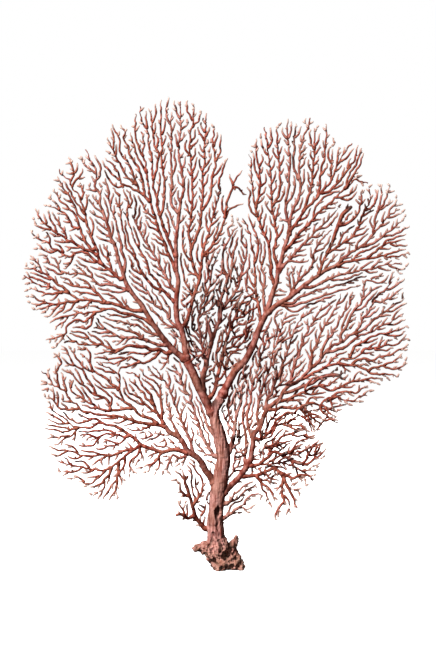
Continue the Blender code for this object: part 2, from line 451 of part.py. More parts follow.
limb("lowerRight20", "lowerRight", "lower_right_limb", 1, 1.5, 0.75,
     (39, 129), (37, 139), (38, 148), (40, 157), (43, 166), (46, 175), (49, 184), (51, 192),
     (54, 201), (57, 210), (59, 219), (62, 227))
limb("lowerRight21", "lowerRight", "lower_right_limb", 4, 1.5, 0.75,
     (33, 118), (29, 127), (28, 137), (30, 147), (32, 156), (33, 165), (36, 174), (39, 183),
     (41, 192), (44, 201), (47, 210))
limb("lowerRight22", "lowerRight", "lower_right_limb", -9, 1.4, 0.75,
     (94, 190), (95, 198), (99, 205), (104, 212), (108, 219), (112, 226), (116, 233), (121, 239))
limb("lowerRight23", "lowerRight", "lower_right_limb", -4, 1.3, 0.75,
     (123, 212), (130, 214), (137, 220), (143, 225), (149, 230), (157, 235), (163, 239),
     (169, 244))
limb("lowerRight24", "lowerRight", "lower_right_limb", -10, 1.2, 0.75,
     (141, 241), (148, 240), (154, 243), (160, 247), (167, 253))
limb("low1", "lowerRight", "hanging_fan", -13, 2.0, 1.1,
     (22, 84), (28, 84), (36, 85), (42, 87), (48, 90), (52, 92), (58, 88), (63, 86), (68, 83),
     (73, 85), (79, 86), (84, 85), (86, 80))
limb("low2", "low1", "hanging_fan", -16, 1.6, 1.1,
     (58, 88), (61, 81), (65, 73), (68, 67), (70, 62), (72, 56))
limb("low3", "low2", "hanging_fan", -18, 1.3, 1.1,
     (60, 82), (59, 75), (59, 69), (61, 63), (57, 58), (53, 52), (53, 46))
limb("low4", "lowerRight", "low_right_fan", -12, 1.8, 1.1,
     (29, 94), (36, 94), (41, 97), (47, 102), (52, 106), (58, 104), (65, 106), (70, 111),
     (72, 116))
limb("low5", "low4", "low_right_fan", -15, 1.4, 1.0,
     (58, 104), (65, 100), (71, 97), (76, 95), (81, 101), (84, 107), (87, 112), (93, 118))
limb("low6", "low4", "low_right_fan", -10, 1.4, 1.0,
     (47, 102), (50, 110), (55, 115), (60, 120), (67, 122), (73, 124), (79, 126))
limb("low7", "low5", "low_right_fan", -17, 1.2, 1.0,
     (76, 95), (83, 96), (88, 101), (94, 105), (99, 111))
limb("low8", "low1", "hanging_fan", -10, 1.4, 1.0,
     (36, 85), (41, 78), (47, 74), (51, 68), (52, 62))
limb("low9", "trunk", "trunk", -12, 1.7, 1.1,
     (4, 58), (7, 58), (12, 61), (15, 66), (17, 71))
limb("low10", "trunk", "trunk", -13, 1.5, 1.1,
     (3, 43), (7, 46), (13, 50), (17, 54), (22, 58), (27, 60))
limb("bush1", "trunk", "trunk", 5, 1.8, 1.3,
     (6, 102), (12, 105), (14, 112), (16, 122), (17, 130), (19, 140), (22, 148), (23, 158),
     (25, 166))
limb("bush2", "lowerRight", "lower_right_limb", 0, 1.7, 1.1,
     (27, 92), (26, 101), (27, 110), (27, 119), (25, 128), (24, 137), (26, 146), (28, 155))
limb("bush3", "lowerRight", "low_right_bush", -12, 1.5, 1.0,
     (33, 119), (40, 117), (45, 122), (50, 126), (56, 130), (62, 132), (68, 135), (76, 135))
limb("bush4", "bush3", "low_right_bush", -14, 1.3, 1.0,
     (50, 126), (54, 134), (59, 139), (65, 142), (72, 140))
limb("lowerLeft", "trunk", "lower_left_limb", -8, 3.5, 2.1,
     (1, 72), (-4, 82), (-10, 90), (-14, 98), (-20, 103), (-25, 106), (-28, 112), (-32, 118),
     (-37, 121), (-42, 124), (-46, 130))
limb("lowerLeftA", "lowerLeft", "lower_left_upper_fan", -10, 1.7, 0.8,
     (-46, 130), (-50, 137), (-53, 142), (-56, 149), (-58, 156), (-61, 161), (-66, 166),
     (-69, 172), (-73, 176), (-76, 177), (-81, 178))
limb("lowerLeftA2", "lowerLeftA", "lower_left_upper_fan", -8, 1.4, 0.75,
     (-55, 148), (-60, 152), (-63, 156), (-67, 161), (-71, 166), (-76, 169), (-78, 172))
limb("lowerLeftA3", "lowerLeftA", "lower_left_upper_fan", -12, 1.3, 0.75,
     (-52, 141), (-58, 144), (-61, 147), (-65, 150), (-69, 155), (-75, 158), (-79, 160),
     (-80, 164), (-81, 169), (-83, 174))
limb("lowerLeftA4", "lowerLeftA", "lower_left_upper_fan", -7, 1.4, 0.75,
     (-49, 135), (-48, 144), (-50, 152), (-49, 160), (-52, 166), (-57, 171), (-61, 172),
     (-65, 176), (-65, 180))
limb("lowerLeftB", "lowerLeft", "lower_left_side_fan", -13, 1.8, 0.75,
     (-44, 128), (-52, 130), (-62, 131), (-71, 133), (-80, 136), (-86, 138), (-94, 139),
     (-101, 140), (-108, 140), (-113, 142), (-119, 143), (-122, 146), (-124, 150), (-129, 152),
     (-131, 155), (-134, 160), (-139, 163), (-142, 165), (-146, 167), (-149, 172), (-153, 176),
     (-156, 179))
limb("lowerLeftB1", "lowerLeftB", "lower_left_middle_fan", -11, 1.7, 0.75,
     (-52, 130), (-58, 136), (-67, 138), (-71, 142), (-76, 147), (-80, 150), (-85, 157),
     (-86, 163), (-86, 168), (-86, 174), (-90, 178), (-95, 181), (-101, 183), (-107, 186))
limb("lowerLeftB2", "lowerLeftB1", "lower_left_middle_fan", -14, 1.4, 0.75,
     (-74, 145), (-79, 145), (-85, 144), (-90, 143), (-97, 143), (-103, 144), (-108, 148),
     (-113, 150), (-118, 153), (-122, 156), (-127, 159), (-130, 164), (-131, 169))
limb("lowerLeftB3", "lowerLeftB1", "lower_left_middle_fan", -13, 1.4, 0.75,
     (-86, 161), (-89, 164), (-94, 167), (-97, 171), (-102, 174), (-106, 177), (-111, 178),
     (-115, 180), (-120, 184), (-123, 188), (-126, 194), (-129, 198))
limb("lowerLeftB4", "lowerLeftB2", "lower_left_middle_fan", -16, 1.3, 0.75,
     (-94, 143), (-95, 148), (-98, 154), (-103, 156), (-107, 157), (-112, 160), (-115, 164),
     (-119, 167), (-123, 170), (-126, 175), (-130, 180))
limb("lowerLeftB5", "lowerLeftB4", "lower_left_middle_fan", -18, 1.2, 0.75,
     (-107, 157), (-109, 163), (-112, 168), (-116, 175), (-119, 180), (-124, 183), (-128, 186),
     (-129, 191), (-132, 194), (-137, 195))
limb("lowerLeftB6", "lowerLeftB", "lower_left_side_fan", -16, 1.1, 0.75,
     (-122, 145), (-129, 144), (-135, 145), (-139, 145), (-142, 148), (-144, 152), (-148, 155),
     (-148, 158))
limb("lowerLeftB7", "lowerLeftB", "lower_left_side_fan", -15, 1.1, 0.75,
     (-140, 164), (-141, 170), (-142, 176), (-143, 184))
limb("lowerLeftB8", "lowerLeftB3", "lower_left_middle_fan", -15, 1.2, 0.75,
     (-109, 177), (-112, 183), (-112, 188), (-112, 194), (-115, 198), (-119, 200))
limb("lowerLeftC", "lowerLeft", "lower_left_under_fan", -10, 2.3, 0.75,
     (-24, 105), (-31, 107), (-39, 108), (-48, 106), (-55, 108), (-61, 110), (-68, 113),
     (-72, 118), (-78, 122), (-83, 125), (-87, 128), (-94, 130), (-99, 131), (-104, 132),
     (-108, 130), (-113, 128), (-119, 128), (-124, 128), (-129, 130), (-132, 133), (-137, 137),
     (-141, 140), (-145, 142), (-147, 146), (-148, 150))
limb("lowerLeftC1", "lowerLeftC", "lower_left_under_fan", -8, 1.2, 0.75,
     (-102, 132), (-106, 135), (-112, 136), (-117, 137), (-122, 138))
limb("lowerLeftC2", "lowerLeftC", "lower_left_under_fan", -12, 1.1, 0.75,
     (-122, 128), (-129, 126), (-133, 125), (-139, 124), (-144, 126), (-149, 126), (-153, 128))
limb("lowerLeftC3", "lowerLeftC", "lower_left_under_fan", -14, 1.0, 0.75,
     (-124, 128), (-127, 122), (-130, 120), (-136, 117), (-140, 114), (-144, 112))
limb("lowerLeftC4", "lowerLeftC", "lower_left_under_fan", -12, 1.0, 0.75,
     (-131, 132), (-137, 131), (-142, 132), (-147, 134), (-150, 136))
limb("lowerLeftC5", "lowerLeftC", "lower_left_under_fan", -7, 1.2, 0.75,
     (-77, 121), (-82, 119), (-87, 121), (-93, 122), (-100, 122), (-106, 119), (-112, 116))
limb("lowerLeftD", "lowerLeftC", "hanging_left_fan", -13, 1.5, 0.75,
     (-67, 112), (-74, 108), (-80, 103), (-86, 98), (-92, 94), (-97, 91), (-104, 90), (-110, 91),
     (-117, 93), (-124, 94), (-131, 95), (-137, 97), (-142, 98))
limb("lowerLeftE", "lowerLeftD", "hanging_left_fan", -16, 1.4, 0.75,
     (-74, 108), (-81, 108), (-87, 105), (-94, 103), (-101, 104), (-108, 103), (-115, 103),
     (-121, 104), (-126, 107), (-131, 108), (-139, 108), (-144, 110), (-149, 112))
limb("lowerLeftD1", "lowerLeftD", "hanging_left_fan", -15, 1.2, 1.0,
     (-82, 102), (-81, 96), (-84, 91), (-86, 86), (-84, 81), (-85, 76))
limb("lowerLeftD2", "lowerLeftD", "hanging_left_fan", -17, 1.4, 1.0,
     (-87, 97), (-87, 91), (-88, 85), (-89, 78), (-90, 71), (-94, 67), (-96, 64))
limb("lowerLeftD3", "lowerLeftD", "hanging_left_fan", -14, 1.4, 1.0,
     (-93, 93), (-95, 87), (-99, 82), (-103, 78), (-107, 76), (-113, 75))
limb("lowerLeftD4", "lowerLeftD", "hanging_left_fan", -12, 1.2, 0.75,
     (-98, 91), (-103, 85), (-108, 81), (-113, 78), (-118, 79), (-123, 80))
limb("lowerLeftF", "lowerLeftC", "lower_left_under_fan", -14, 1.2, 1.0,
     (-68, 112), (-69, 105), (-74, 100), (-77, 96), (-76, 92), (-73, 87))
limb("lowerLeftG", "lowerLeftC", "lower_left_under_fan", -12, 1.3, 1.0,
     (-45, 107), (-50, 104), (-53, 98), (-58, 94), (-60, 88))
limb("lowerLeftH", "lowerLeft", "lower_left_limb", -3, 1.7, 0.75,
     (-15, 99), (-21, 107), (-23, 116), (-27, 125), (-31, 133), (-34, 141), (-37, 149), (-40, 158),
     (-43, 165), (-48, 171), (-52, 177), (-57, 183))
limb("lowerLeftI", "lowerLeft", "lower_left_limb", -5, 1.6, 0.75,
     (-32, 118), (-36, 127), (-40, 135), (-41, 143), (-44, 150), (-43, 158))
limb("lowerLeftJ", "trunk", "trunk", 4, 1.8, 1.0,
     (5, 100), (-2, 102), (-6, 109), (-11, 117), (-14, 126), (-17, 135), (-20, 144), (-23, 152),
     (-27, 160), (-31, 168), (-34, 176), (-38, 184))
limb("lowerLeftK", "trunk", "trunk", 8, 1.7, 1.0,
     (3, 120), (-4, 123), (-8, 130), (-11, 139), (-14, 147), (-18, 155))
limb("lowerLeftL", "lowerLeft", "lower_left_limb", -12, 1.4, 1.1,
     (-23, 105), (-29, 102), (-33, 100), (-38, 104), (-41, 99), (-43, 93), (-43, 87))
limb("knob", "trunk", "low_left_branch", -12, 2.2, 1.4,
     (-3, 35), (-9, 36), (-13, 40), (-18, 47), (-20, 55), (-22, 61), (-24, 68), (-26, 75),
     (-28, 80), (-25, 85))
limb("knob1", "knob", "low_left_branch", -15, 1.6, 1.4,
     (-19, 49), (-25, 47), (-31, 51), (-36, 50))
limb("knob2", "knob", "low_left_branch", -9, 1.4, 1.1,
     (-21, 58), (-15, 66), (-12, 71), (-9, 72))
limb("knob3", "knob", "low_left_branch", -16, 1.4, 1.1,
     (-23, 67), (-28, 68), (-32, 73), (-32, 80))
limb("notch", "leftInnerO2", "notch_fan", 13, 1.4, 0.75,
     (8, 316), (9, 325), (10, 332), (13, 338), (15, 344), (16, 348), (20, 355), (24, 360))
limb("notch2", "notch", "notch_fan", 15, 1.1, 0.75,
     (16, 346), (14, 351), (12, 357))
limb("notch3", "notch", "notch_fan", 15, 1.2, 0.75,
     (15, 345), (20, 344), (23, 341), (25, 338), (28, 338))
limb("footStub", "trunk", "trunk", -3, 3.0, 2.6,
     (12, 19), (16, 23), (18, 27), (18, 31))
byName["footStub"].firstRing = 4


# growth of the side twigs

def headingAt(stem, i):
    """Direction of a stem in the plane of the fan, as an angle."""
    a = stem.line[max(i - 1, 0)]
    b = stem.line[min(i + 1, len(stem.line) - 1)]
    return math.atan2(b.z - a.z, b.x - a.x)


def turnBetween(a, b):
    return (a - b + math.pi) % (2 * math.pi) - math.pi


def insideOutline(x, z):
    inside = False
    j = len(outline) - 1
    for i in range(len(outline)):
        ax, az = outline[i]
        bx, bz = outline[j]
        if (az > z) != (bz > z) and x < (bx - ax) * (z - az) / (bz - az) + ax:
            inside = not inside
        j = i
    return inside


class Flow:
    """The way the traced stems run, blurred, so that new twigs can follow it."""

    pitch = 4.0
    reach = 6
    spread = 9.0

    def __init__(self, stems):
        self.cells = {}
        for stem in stems:
            if stem.parent is None:
                continue
            for i, point in enumerate(stem.line):
                if i % 2:
                    continue
                heading = headingAt(stem, i)
                self.blur(point, math.cos(heading), math.sin(heading))

    def blur(self, point, cosine, sine):
        cx = round(point.x / self.pitch)
        cz = round(point.z / self.pitch)
        for i in range(cx - self.reach, cx + self.reach + 1):
            for k in range(cz - self.reach, cz + self.reach + 1):
                away = (i * self.pitch - point.x) ** 2 + (k * self.pitch - point.z) ** 2
                weight = math.exp(-away / (2 * self.spread ** 2))
                old = self.cells.get((i, k), (0.0, 0.0))
                self.cells[i, k] = (old[0] + weight * cosine, old[1] + weight * sine)

    def at(self, x, z):
        cell = self.cells.get((round(x / self.pitch), round(z / self.pitch)))
        if cell is None:
            return None
        return math.atan2(cell[1], cell[0])


class Growth:
    """Tips that all grow a step at a time, keep clear of one another and fork now and then."""

    cellSize = 6.0
    depthWeight = 0.08      # twigs in front of one another still shun each other

    def __init__(self, stems):
        self.dice = random.Random(growthSeed)
        self.cells = {}
        self.flow = Flow(stems)
        self.stems = list(stems)
        self.twigs = []
        self.active = []
        for stem in stems:
            for point, radius in zip(stem.line, stem.radii):
                self.mark(point, radius, stem)

    def mark(self, point, radius, stem):
        cell = (int(point.x // self.cellSize), int(point.z // self.cellSize))
        extra = max(0.0, radius - twigRadius)
        self.cells.setdefault(cell, []).append((point, extra, stem))

    def crowdAt(self, x, z):
        cx = int(x // self.cellSize)
        cz = int(z // self.cellSize)
        crowd = []
        for i in (cx - 1, cx, cx + 1):
            for k in (cz - 1, cz, cz + 1):
                crowd += self.cells.get((i, k), ())
        return crowd

    def room(self, x, z, y, crowd, own, forks):
        """Distance to the nearest other twig, leaving out what meets this one at a fork."""
        best = 6.0
        for point, extra, stem in crowd:
            if stem is own:
                continue
            dx = point.x - x
            dz = point.z - z
            if abs(dx) > best + extra or abs(dz) > best + extra:
                continue
            away = math.sqrt(dx * dx + dz * dz + ((point.y - y) * self.depthWeight) ** 2) - extra
            if away >= best:
                continue
            atFork = False
            for fork in forks:
                forkAway = math.hypot(x - fork.x, z - fork.z)
                if math.hypot(point.x - fork.x, point.z - fork.z) < 8 and away > 0.5 * forkAway:
                    atFork = True
            if not atFork:
                best = away
        return best

    def sprout(self, parent, i, side, angle, leastRoom, kind):
        foot = parent.line[i]
        heading = headingAt(parent, i) + side * angle
        lead = parent.radii[i] / math.sin(angle) * 0.9 + 1.4
        cosine = math.cos(heading)
        sine = math.sin(heading)
        x = foot.x + cosine * lead
        z = foot.z + sine * lead
        farX = x + cosine * 2.5
        farZ = z + sine * 2.5
        if not insideOutline(farX, farZ):
            return None
        crowd = self.crowdAt(farX, farZ)
        if self.room(farX, farZ, foot.y, crowd, None, [foot]) < leastRoom:
            return None
        if self.room(x, z, foot.y, crowd, None, [foot]) < leastRoom * 0.7:
            return None
        if kind == "twig" and not self.clearAhead(farX, farZ, heading, foot):
            return None
        twig = Branch(parent.name, parent.piece, parent, i)
        twig.line = [foot.copy(), Vector((x, foot.y, z))]
        twig.radii = [twigRadius, twigRadius]
        twig.heading = heading
        twig.sinceFork = 0.0
        twig.side = -side
        twig.bornSide = side
        twig.forks = [foot]
        twig.bias = self.dice.gauss(0, 0.10)
        twig.age = lead
        twig.life = self.dice.uniform(25, 140) if kind == "twig" else lead + self.dice.uniform(0.6, 2.4)
        twig.depthGoal = self.limbDepth(parent, i) + self.dice.uniform(-1.5, 1.5)
        twig.kind = kind
        twig.ahead = self.dice.uniform(-4, 8)
        self.mark(twig.line[1], twigRadius, twig)
        self.twigs.append(twig)
        self.active.append(twig)
        return twig

    def clearAhead(self, x, z, heading, foot):
        """Whether a new twig could run on along the flow for a while."""
        for _ in range(round(aheadRoom / growthStep)):
            flow = self.flow.at(x, z)
            if flow is not None:
                heading += max(-0.32, min(0.32, turnBetween(flow, heading)))
            x += math.cos(heading) * growthStep
            z += math.sin(heading) * growthStep
            if not insideOutline(x, z):
                return False
            if self.room(x, z, foot.y, self.crowdAt(x, z), None, [foot]) < twigRoom:
                return False
        return True

    def limbDepth(self, stem, i):
        while not stem.traced:
            i = stem.at
            stem = stem.parent
        return 0.3 * stem.line[-1].y + 0.7 * stem.line[min(i, len(stem.line) - 1)].y

    def sproutAlong(self, stem, gap, leastRoom, start, kind):
        along = start
        side = self.dice.choice((-1, 1))
        while round(along / growthStep) < len(stem.line) - 1:
            i = round(along / growthStep)
            for way in (side, -side):
                if any(abs(kid.at - i) <= 2 and kid.bornSide in (way, 0) for kid in stem.kids):
                    continue
                if self.sprout(stem, i, way, self.dice.uniform(0.6, 0.85), leastRoom, kind):
                    side = -way
                    break
            along += gap * self.dice.uniform(0.8, 1.25)

    def bestStep(self, twig):
        """Where the tip goes next, or None when it is hemmed in."""
        tip = twig.line[-1]
        flow = self.flow.at(tip.x, tip.z)
        wanted = twig.heading if flow is None else flow + twig.bias
        forks = twig.forks[-2:] + twig.forks[:1]
        crowd = self.crowdAt(tip.x, tip.z)
        y = tip.y + max(-0.5, min(0.5, (twig.depthGoal - tip.y) * 0.15))
        best = None
        for k in (-2, -1, 0, 1, 2):
            heading = twig.heading + k * 0.16
            dx = math.cos(heading) * growthStep
            dz = math.sin(heading) * growthStep
            near = self.room(tip.x + dx, tip.z + dz, y, crowd, twig, forks)
            if near < twigRoom:
                continue
            far = self.room(tip.x + 2 * dx, tip.z + 2 * dz, y, crowd, twig, forks)
            score = (0.22 * min(near, 5.2) + 0.16 * min(far, 5.2) - 0.12 * abs(k)
                     - 0.9 * abs(turnBetween(heading, wanted)) + self.dice.gauss(0, 0.18))
            if best is None or score > best[0]:
                best = (score, heading, Vector((tip.x + dx, y, tip.z + dz)))
        return best

    def advance(self, twig):
        """One step of one tip; False when it stops for good."""
        best = self.bestStep(twig)
        if best is None or twig.age > twig.life:
            return False
        heading = best[1]
        point = best[2]
        if not insideOutline(point.x + math.cos(heading) * twig.ahead,
                             point.z + math.sin(heading) * twig.ahead):
            return False
        twig.heading = heading
        twig.line.append(point)
        twig.radii.append(twigRadius)
        twig.age += growthStep
        twig.sinceFork += growthStep
        self.mark(point, twigRadius, twig)
        if twig.kind == "twig" and twig.sinceFork >= forkGap and self.dice.random() < 0.5:
            i = len(twig.line) - 2
            for way in (twig.side, -twig.side):
                if self.sprout(twig, i, way, self.dice.uniform(0.5, 0.75), forkRoom, "twig"):
                    twig.side = -way
                    twig.sinceFork = 0.0
                    twig.forks.append(twig.line[i])
                    twig.heading -= way * self.dice.uniform(0.05, 0.3)
                    break
        return True

    def run(self):
        while self.active:
            for twig in list(self.active):
                if not self.advance(twig):
                    self.active.remove(twig)

    def growAll(self):
        """Side twigs first, then more where room is left, then short nubs."""
        for stem in list(self.stems):
            self.sproutAlong(stem, 5.0, 3.8, 4.0, "twig")
        self.run()
        for stem in self.stems + list(self.twigs):
            self.sproutAlong(stem, 5.0, forkRoom, 4.0, "twig")
        self.run()
        for stem in self.stems + list(self.twigs):
            self.sproutAlong(stem, 5.0, 2.4, 4.0, "nub")
        self.run()


# solids: every stem is a tube of a few sides, and a side stem grows out of a hole in its parent's side

def sidesOf(stem):
    if stem.parent is None:
        return 12
    return 4 if stem.radii[0] >= 1.85 else 3


cornerReach = {3: 1.2, 4: 1.3, 12: 1.03}
cornerStart = {3: 90.0, 4: 45.0, 12: 15.0}


def frameAt(stem, i):
    """Axis, left side and front side of a stem at one of its points."""
    a = stem.line[max(i - 1, 0)]
    b = stem.line[min(i + 1, len(stem.line) - 1)]
    axis = (b - a).normalized()
    left = Vector((-axis.z, 0.0, axis.x)).normalized()
    return axis, left, axis.cross(left).normalized()


def holdfastAt(height):
    """How far the foot reaches each way at a height, between the listed rings."""
    for low, high in zip(holdfastRings, holdfastRings[1:]):
        if height <= high[0]:
            share = (height - low[0]) / (high[0] - low[0])
            return [a + (b - a) * share for a, b in zip(low, high)]
    return holdfastRings[-1]


def ringAt(stem, i, scale=1.0):
    """Corners of a stem's tube around one of its points."""
    sides = sidesOf(stem)
    axis, left, front = frameAt(stem, i)
    corners = []
    for k in range(sides):
        turn = math.radians(cornerStart[sides] + 360.0 * k / sides)
        if stem.parent is None and stem.line[i].z < holdfastRings[-1][0]:
            height, leftEnd, rightEnd, frontEnd, backEnd = holdfastAt(stem.line[i].z)
            lump = 1.0 + 0.05 * math.sin(5 * turn + 0.35 * height)
            across = 0.5 * (leftEnd + rightEnd) + 0.5 * (leftEnd - rightEnd) * lump * math.cos(turn)
            deep = 0.5 * (frontEnd + backEnd) + 0.5 * (frontEnd - backEnd) * lump * math.sin(turn)
            corners.append(Vector((across, deep, height)))
            continue
        reach = stem.radii[i] * scale * cornerReach[sides]
        corners.append(stem.line[i] + reach * (math.cos(turn) * left + math.sin(turn) * front))
    return corners


def distanceToStem(point, stem, at):
    """Nearest distance from a point to a stem's middle line, and where along it."""
    low = max(0, at - 4)
    high = min(len(stem.line), at + 26)
    nearest = min(range(low, high), key=lambda i: (stem.line[i] - point).length)
    return (stem.line[nearest] - point).length, nearest


class Port:
    """Where a side stem leaves its parent: stations, sides and the first free ring."""

    def __init__(self, parent, kid):
        self.kid = kid
        clear = None
        centre = kid.at
        for i, point in enumerate(kid.line):
            away, nearest = distanceToStem(point, parent, kid.at)
            thick = parent.radii[nearest]
            if away < 0.9 * thick:
                centre = nearest
            if away > thick * 1.12 + kid.radii[i] * 1.15 + 0.45:
                clear = i
                break
            centre = nearest if i < 2 else centre
        if kid.firstRing:
            clear = kid.firstRing
            centre = kid.at
        self.first = clear
        half = max(1, round(1.1 * kid.radii[0] / growthStep))
        last = len(parent.line) - 1
        self.low = max(0, min(centre - half, last - 2 * half))
        self.high = min(last, self.low + 2 * half)
        if clear is None:
            return
        axis, left, front = frameAt(parent, min(centre, last))
        out = kid.line[clear] - parent.line[min(centre, last)]
        out -= axis * out.dot(axis)
        sides = sidesOf(parent)
        turn = math.degrees(math.atan2(out.dot(front), out.dot(left)))
        face = 360.0 / sides
        spot = ((turn - cornerStart[sides]) / face) % sides
        width = 1
        if sides == 12:
            width = max(1, min(3, round(2.2 * kid.radii[0] / (0.52 * parent.radii[centre]))))
        start = math.floor(spot - (width - 1) / 2)
        self.faces = [(start + k) % sides for k in range(width)]


def planPorts(stem, first, kept):
    """Ports of all kept side stems, moved apart where two would share a face."""
    last = len(stem.line) - 1
    ports = []
    straightOn = None
    kids = sorted((kid for kid in stem.kids if kid in kept), key=lambda kid: -kid.radii[0])
    ends = [kid for kid in kids if kid.traced and kid.at >= last - 1]
    if ends:
        straightOn = min(ends, key=lambda kid: abs(turnBetween(headingAt(kid, 3), headingAt(stem, last))))
    used = {}
    for kid in kids:
        if kid is straightOn:
            continue
        port = Port(stem, kid)
        if port.first is None or port.first > len(kid.line) - 2:
            kept.discard(kid)
            continue
        size = port.high - port.low
        placed = False
        for shift in (0, 1, -1, 2, -2, 3, -3, 4, 5):
            low = port.low + shift
            high = low + size
            if low < first or high > last:
                continue
            if all(high <= a or low >= b for k in port.faces for a, b in used.get(k, ())):
                port.low = low
                port.high = high
                placed = True
                break
        if not placed:
            if kid.traced:
                print("no room for", kid.name)
            kept.discard(kid)
            continue
        for k in port.faces:
            used.setdefault(k, []).append((port.low, port.high))
        ports.append(port)
    return ports, straightOn


def planStations(stem, first, ports):
    """Points of a stem that get a ring: ends, ports and bends."""
    last = len(stem.line) - 1
    stations = {first, last}
    for port in ports:
        stations.add(port.low)
        stations.add(port.high)
    if stem.parent is None:
        for row in holdfastRings:
            stations.add(min(range(last), key=lambda i: abs(stem.line[i].z - row[0])))
    work = sorted(stations)
    k = 0
    while k < len(work) - 1:
        a = work[k]
        b = work[k + 1]
        worst = None
        if b - a > 3:
            chord = stem.line[b] - stem.line[a]
            for i in range(a + 2, b - 1):
                part = stem.line[i] - stem.line[a]
                off = (part - chord * (part.dot(chord) / chord.length_squared)).length
                if off > bendTolerance and (worst is None or off > worst[0]):
                    worst = (off, i)
        if worst:
            work.insert(k + 1, worst[1])
        else:
            k += 1
    return work


class Solid:
    """Faces and points of one piece while it is put together."""

    def __init__(self):
        self.points = []
        self.faces = []

    def add(self, corners):
        start = len(self.points)
        self.points += corners
        return list(range(start, start + len(corners)))

    def stitch(self, lower, upper):
        """Close the band between two loops that turn the same way."""
        best = None
        for offset in range(len(upper)):
            i = 0
            j = 0
            total = 0.0
            triangles = []
            while i < len(lower) or j < len(upper):
                a = lower[i % len(lower)]
                b = upper[(j + offset) % len(upper)]
                stepLower = (i + 1) / len(lower) <= (j + 1) / len(upper)
                if i >= len(lower):
                    stepLower = False
                if j >= len(upper):
                    stepLower = True
                if stepLower:
                    c = lower[(i + 1) % len(lower)]
                    triangles.append((a, c, b))
                    total += (self.points[c] - self.points[b]).length
                    i += 1
                else:
                    c = upper[(j + offset + 1) % len(upper)]
                    triangles.append((a, c, b))
                    total += (self.points[c] - self.points[a]).length
                    j += 1
            if best is None or total < best[0]:
                best = (total, triangles)
        self.faces += best[1]

    def cap(self, loop, atEnd):
        self.faces.append(tuple(loop) if atEnd else tuple(reversed(loop)))


def buildStem(solid, stem, first, startLoop, kept):
    """The tube of a stem with its own side stems; other pieces get a stub to start from."""
    ports, straightOn = planPorts(stem, first, kept)
    stations = planStations(stem, first, ports)
    last = stations[-1]
    sides = sidesOf(stem)
    endScale = 1.0 if straightOn else tipShare
    rings = {}
    for i in stations:
        if i == first and startLoop is not None and startLoop[1]:
            rings[i] = solid.add(startLoop[0])
        else:
            rings[i] = solid.add(ringAt(stem, i, endScale if i == last else 1.0))
    if startLoop is None or startLoop[1]:
        solid.cap(rings[first], False)
    else:
        solid.stitch(startLoop[0], rings[first])
    holes = set()
    for port in ports:
        inside = [i for i in stations if port.low <= i <= port.high]
        for a in inside[:-1]:
            for k in port.faces:
                holes.add((a, k))
    for a, b in zip(stations, stations[1:]):
        for k in range(sides):
            if (a, k) in holes:
                continue
            n = (k + 1) % sides
            solid.faces.append((rings[a][k], rings[a][n], rings[b][n], rings[b][k]))
    for port in ports:
        inside = [i for i in stations if port.low <= i <= port.high]
        columns = port.faces + [(port.faces[-1] + 1) % sides]
        loop = [rings[inside[0]][k] for k in columns]
        loop += [rings[i][columns[-1]] for i in inside[1:]]
        loop += [rings[inside[-1]][k] for k in reversed(columns[:-1])]
        loop += [rings[i][columns[0]] for i in reversed(inside[1:-1])]
        kid = port.kid
        if kid.piece == stem.piece:
            buildStem(solid, kid, port.first, (loop, False), kept)
            continue
        corners = ringAt(kid, port.first)
        stub = solid.add(corners)
        solid.stitch(loop, stub)
        solid.cap(stub, True)
        away = frameAt(kid, port.first)[0] * jointGap
        kid.start = (port.first, [corner + away for corner in corners])
    if straightOn is None:
        solid.cap(rings[last], True)
    elif straightOn.piece == stem.piece:
        buildStem(solid, straightOn, 2, (rings[last], False), kept)
    else:
        solid.cap(rings[last], True)
        corners = ringAt(straightOn, 0)
        axis = frameAt(stem, last)[0]
        middle = sum((solid.points[i] for i in rings[last]), Vector()) / sides
        shift = middle + axis * jointGap - straightOn.line[0]
        flat = []
        for corner in corners:
            moved = corner + shift
            moved -= axis * (moved - middle - axis * jointGap).dot(axis)
            flat.append(moved)
        straightOn.start = (0, flat)


def makeMaterial(name, colour, roughness):
    material = bpy.data.materials.new(name)
    material.use_nodes = True
    shader = material.node_tree.nodes["Principled BSDF"]
    shader.inputs["Base Color"].default_value = (*colour, 1.0)
    shader.inputs["Roughness"].default_value = roughness
    shader.inputs["Metallic"].default_value = 0.0
    return material


def makeObject(name, solid, collection, colour):
    mesh = bpy.data.meshes.new(name)
    shape = bmesh.new()
    corners = [shape.verts.new(point * millimetre) for point in solid.points]
    for face in solid.faces:
        shape.faces.new([corners[i] for i in face])
    loose = [vert for vert in shape.verts if not vert.link_faces]
    bmesh.ops.delete(shape, geom=loose, context="VERTS")
    bmesh.ops.triangulate(shape, faces=shape.faces[:])
    bmesh.ops.recalc_face_normals(shape, faces=shape.faces[:])
    for face in shape.faces:
        face.smooth = True
    shape.to_mesh(mesh)
    shape.free()
    piece = bpy.data.objects.new(name, mesh)
    collection.objects.link(piece)
    mesh.materials.append(makeMaterial(name + "_coral", colour, 0.75))
    print(name, len(mesh.polygons), "triangles")
    return piece


def chooseTwigs(twigs):
    """The longest grown twigs, as many as the solids have room for."""
    kept = set(branches)
    left = keptTwigSegments
    for twig in sorted(twigs, key=lambda twig: (-len(twig.line), twig.line[0].z)):
        cost = 2 + len(twig.line) * growthStep / 12
        if cost > left or twig.parent not in kept:
            continue
        kept.add(twig)
        left -= cost
    return kept


def clearScene():
    for item in list(bpy.data.objects):
        bpy.data.objects.remove(item, do_unlink=True)


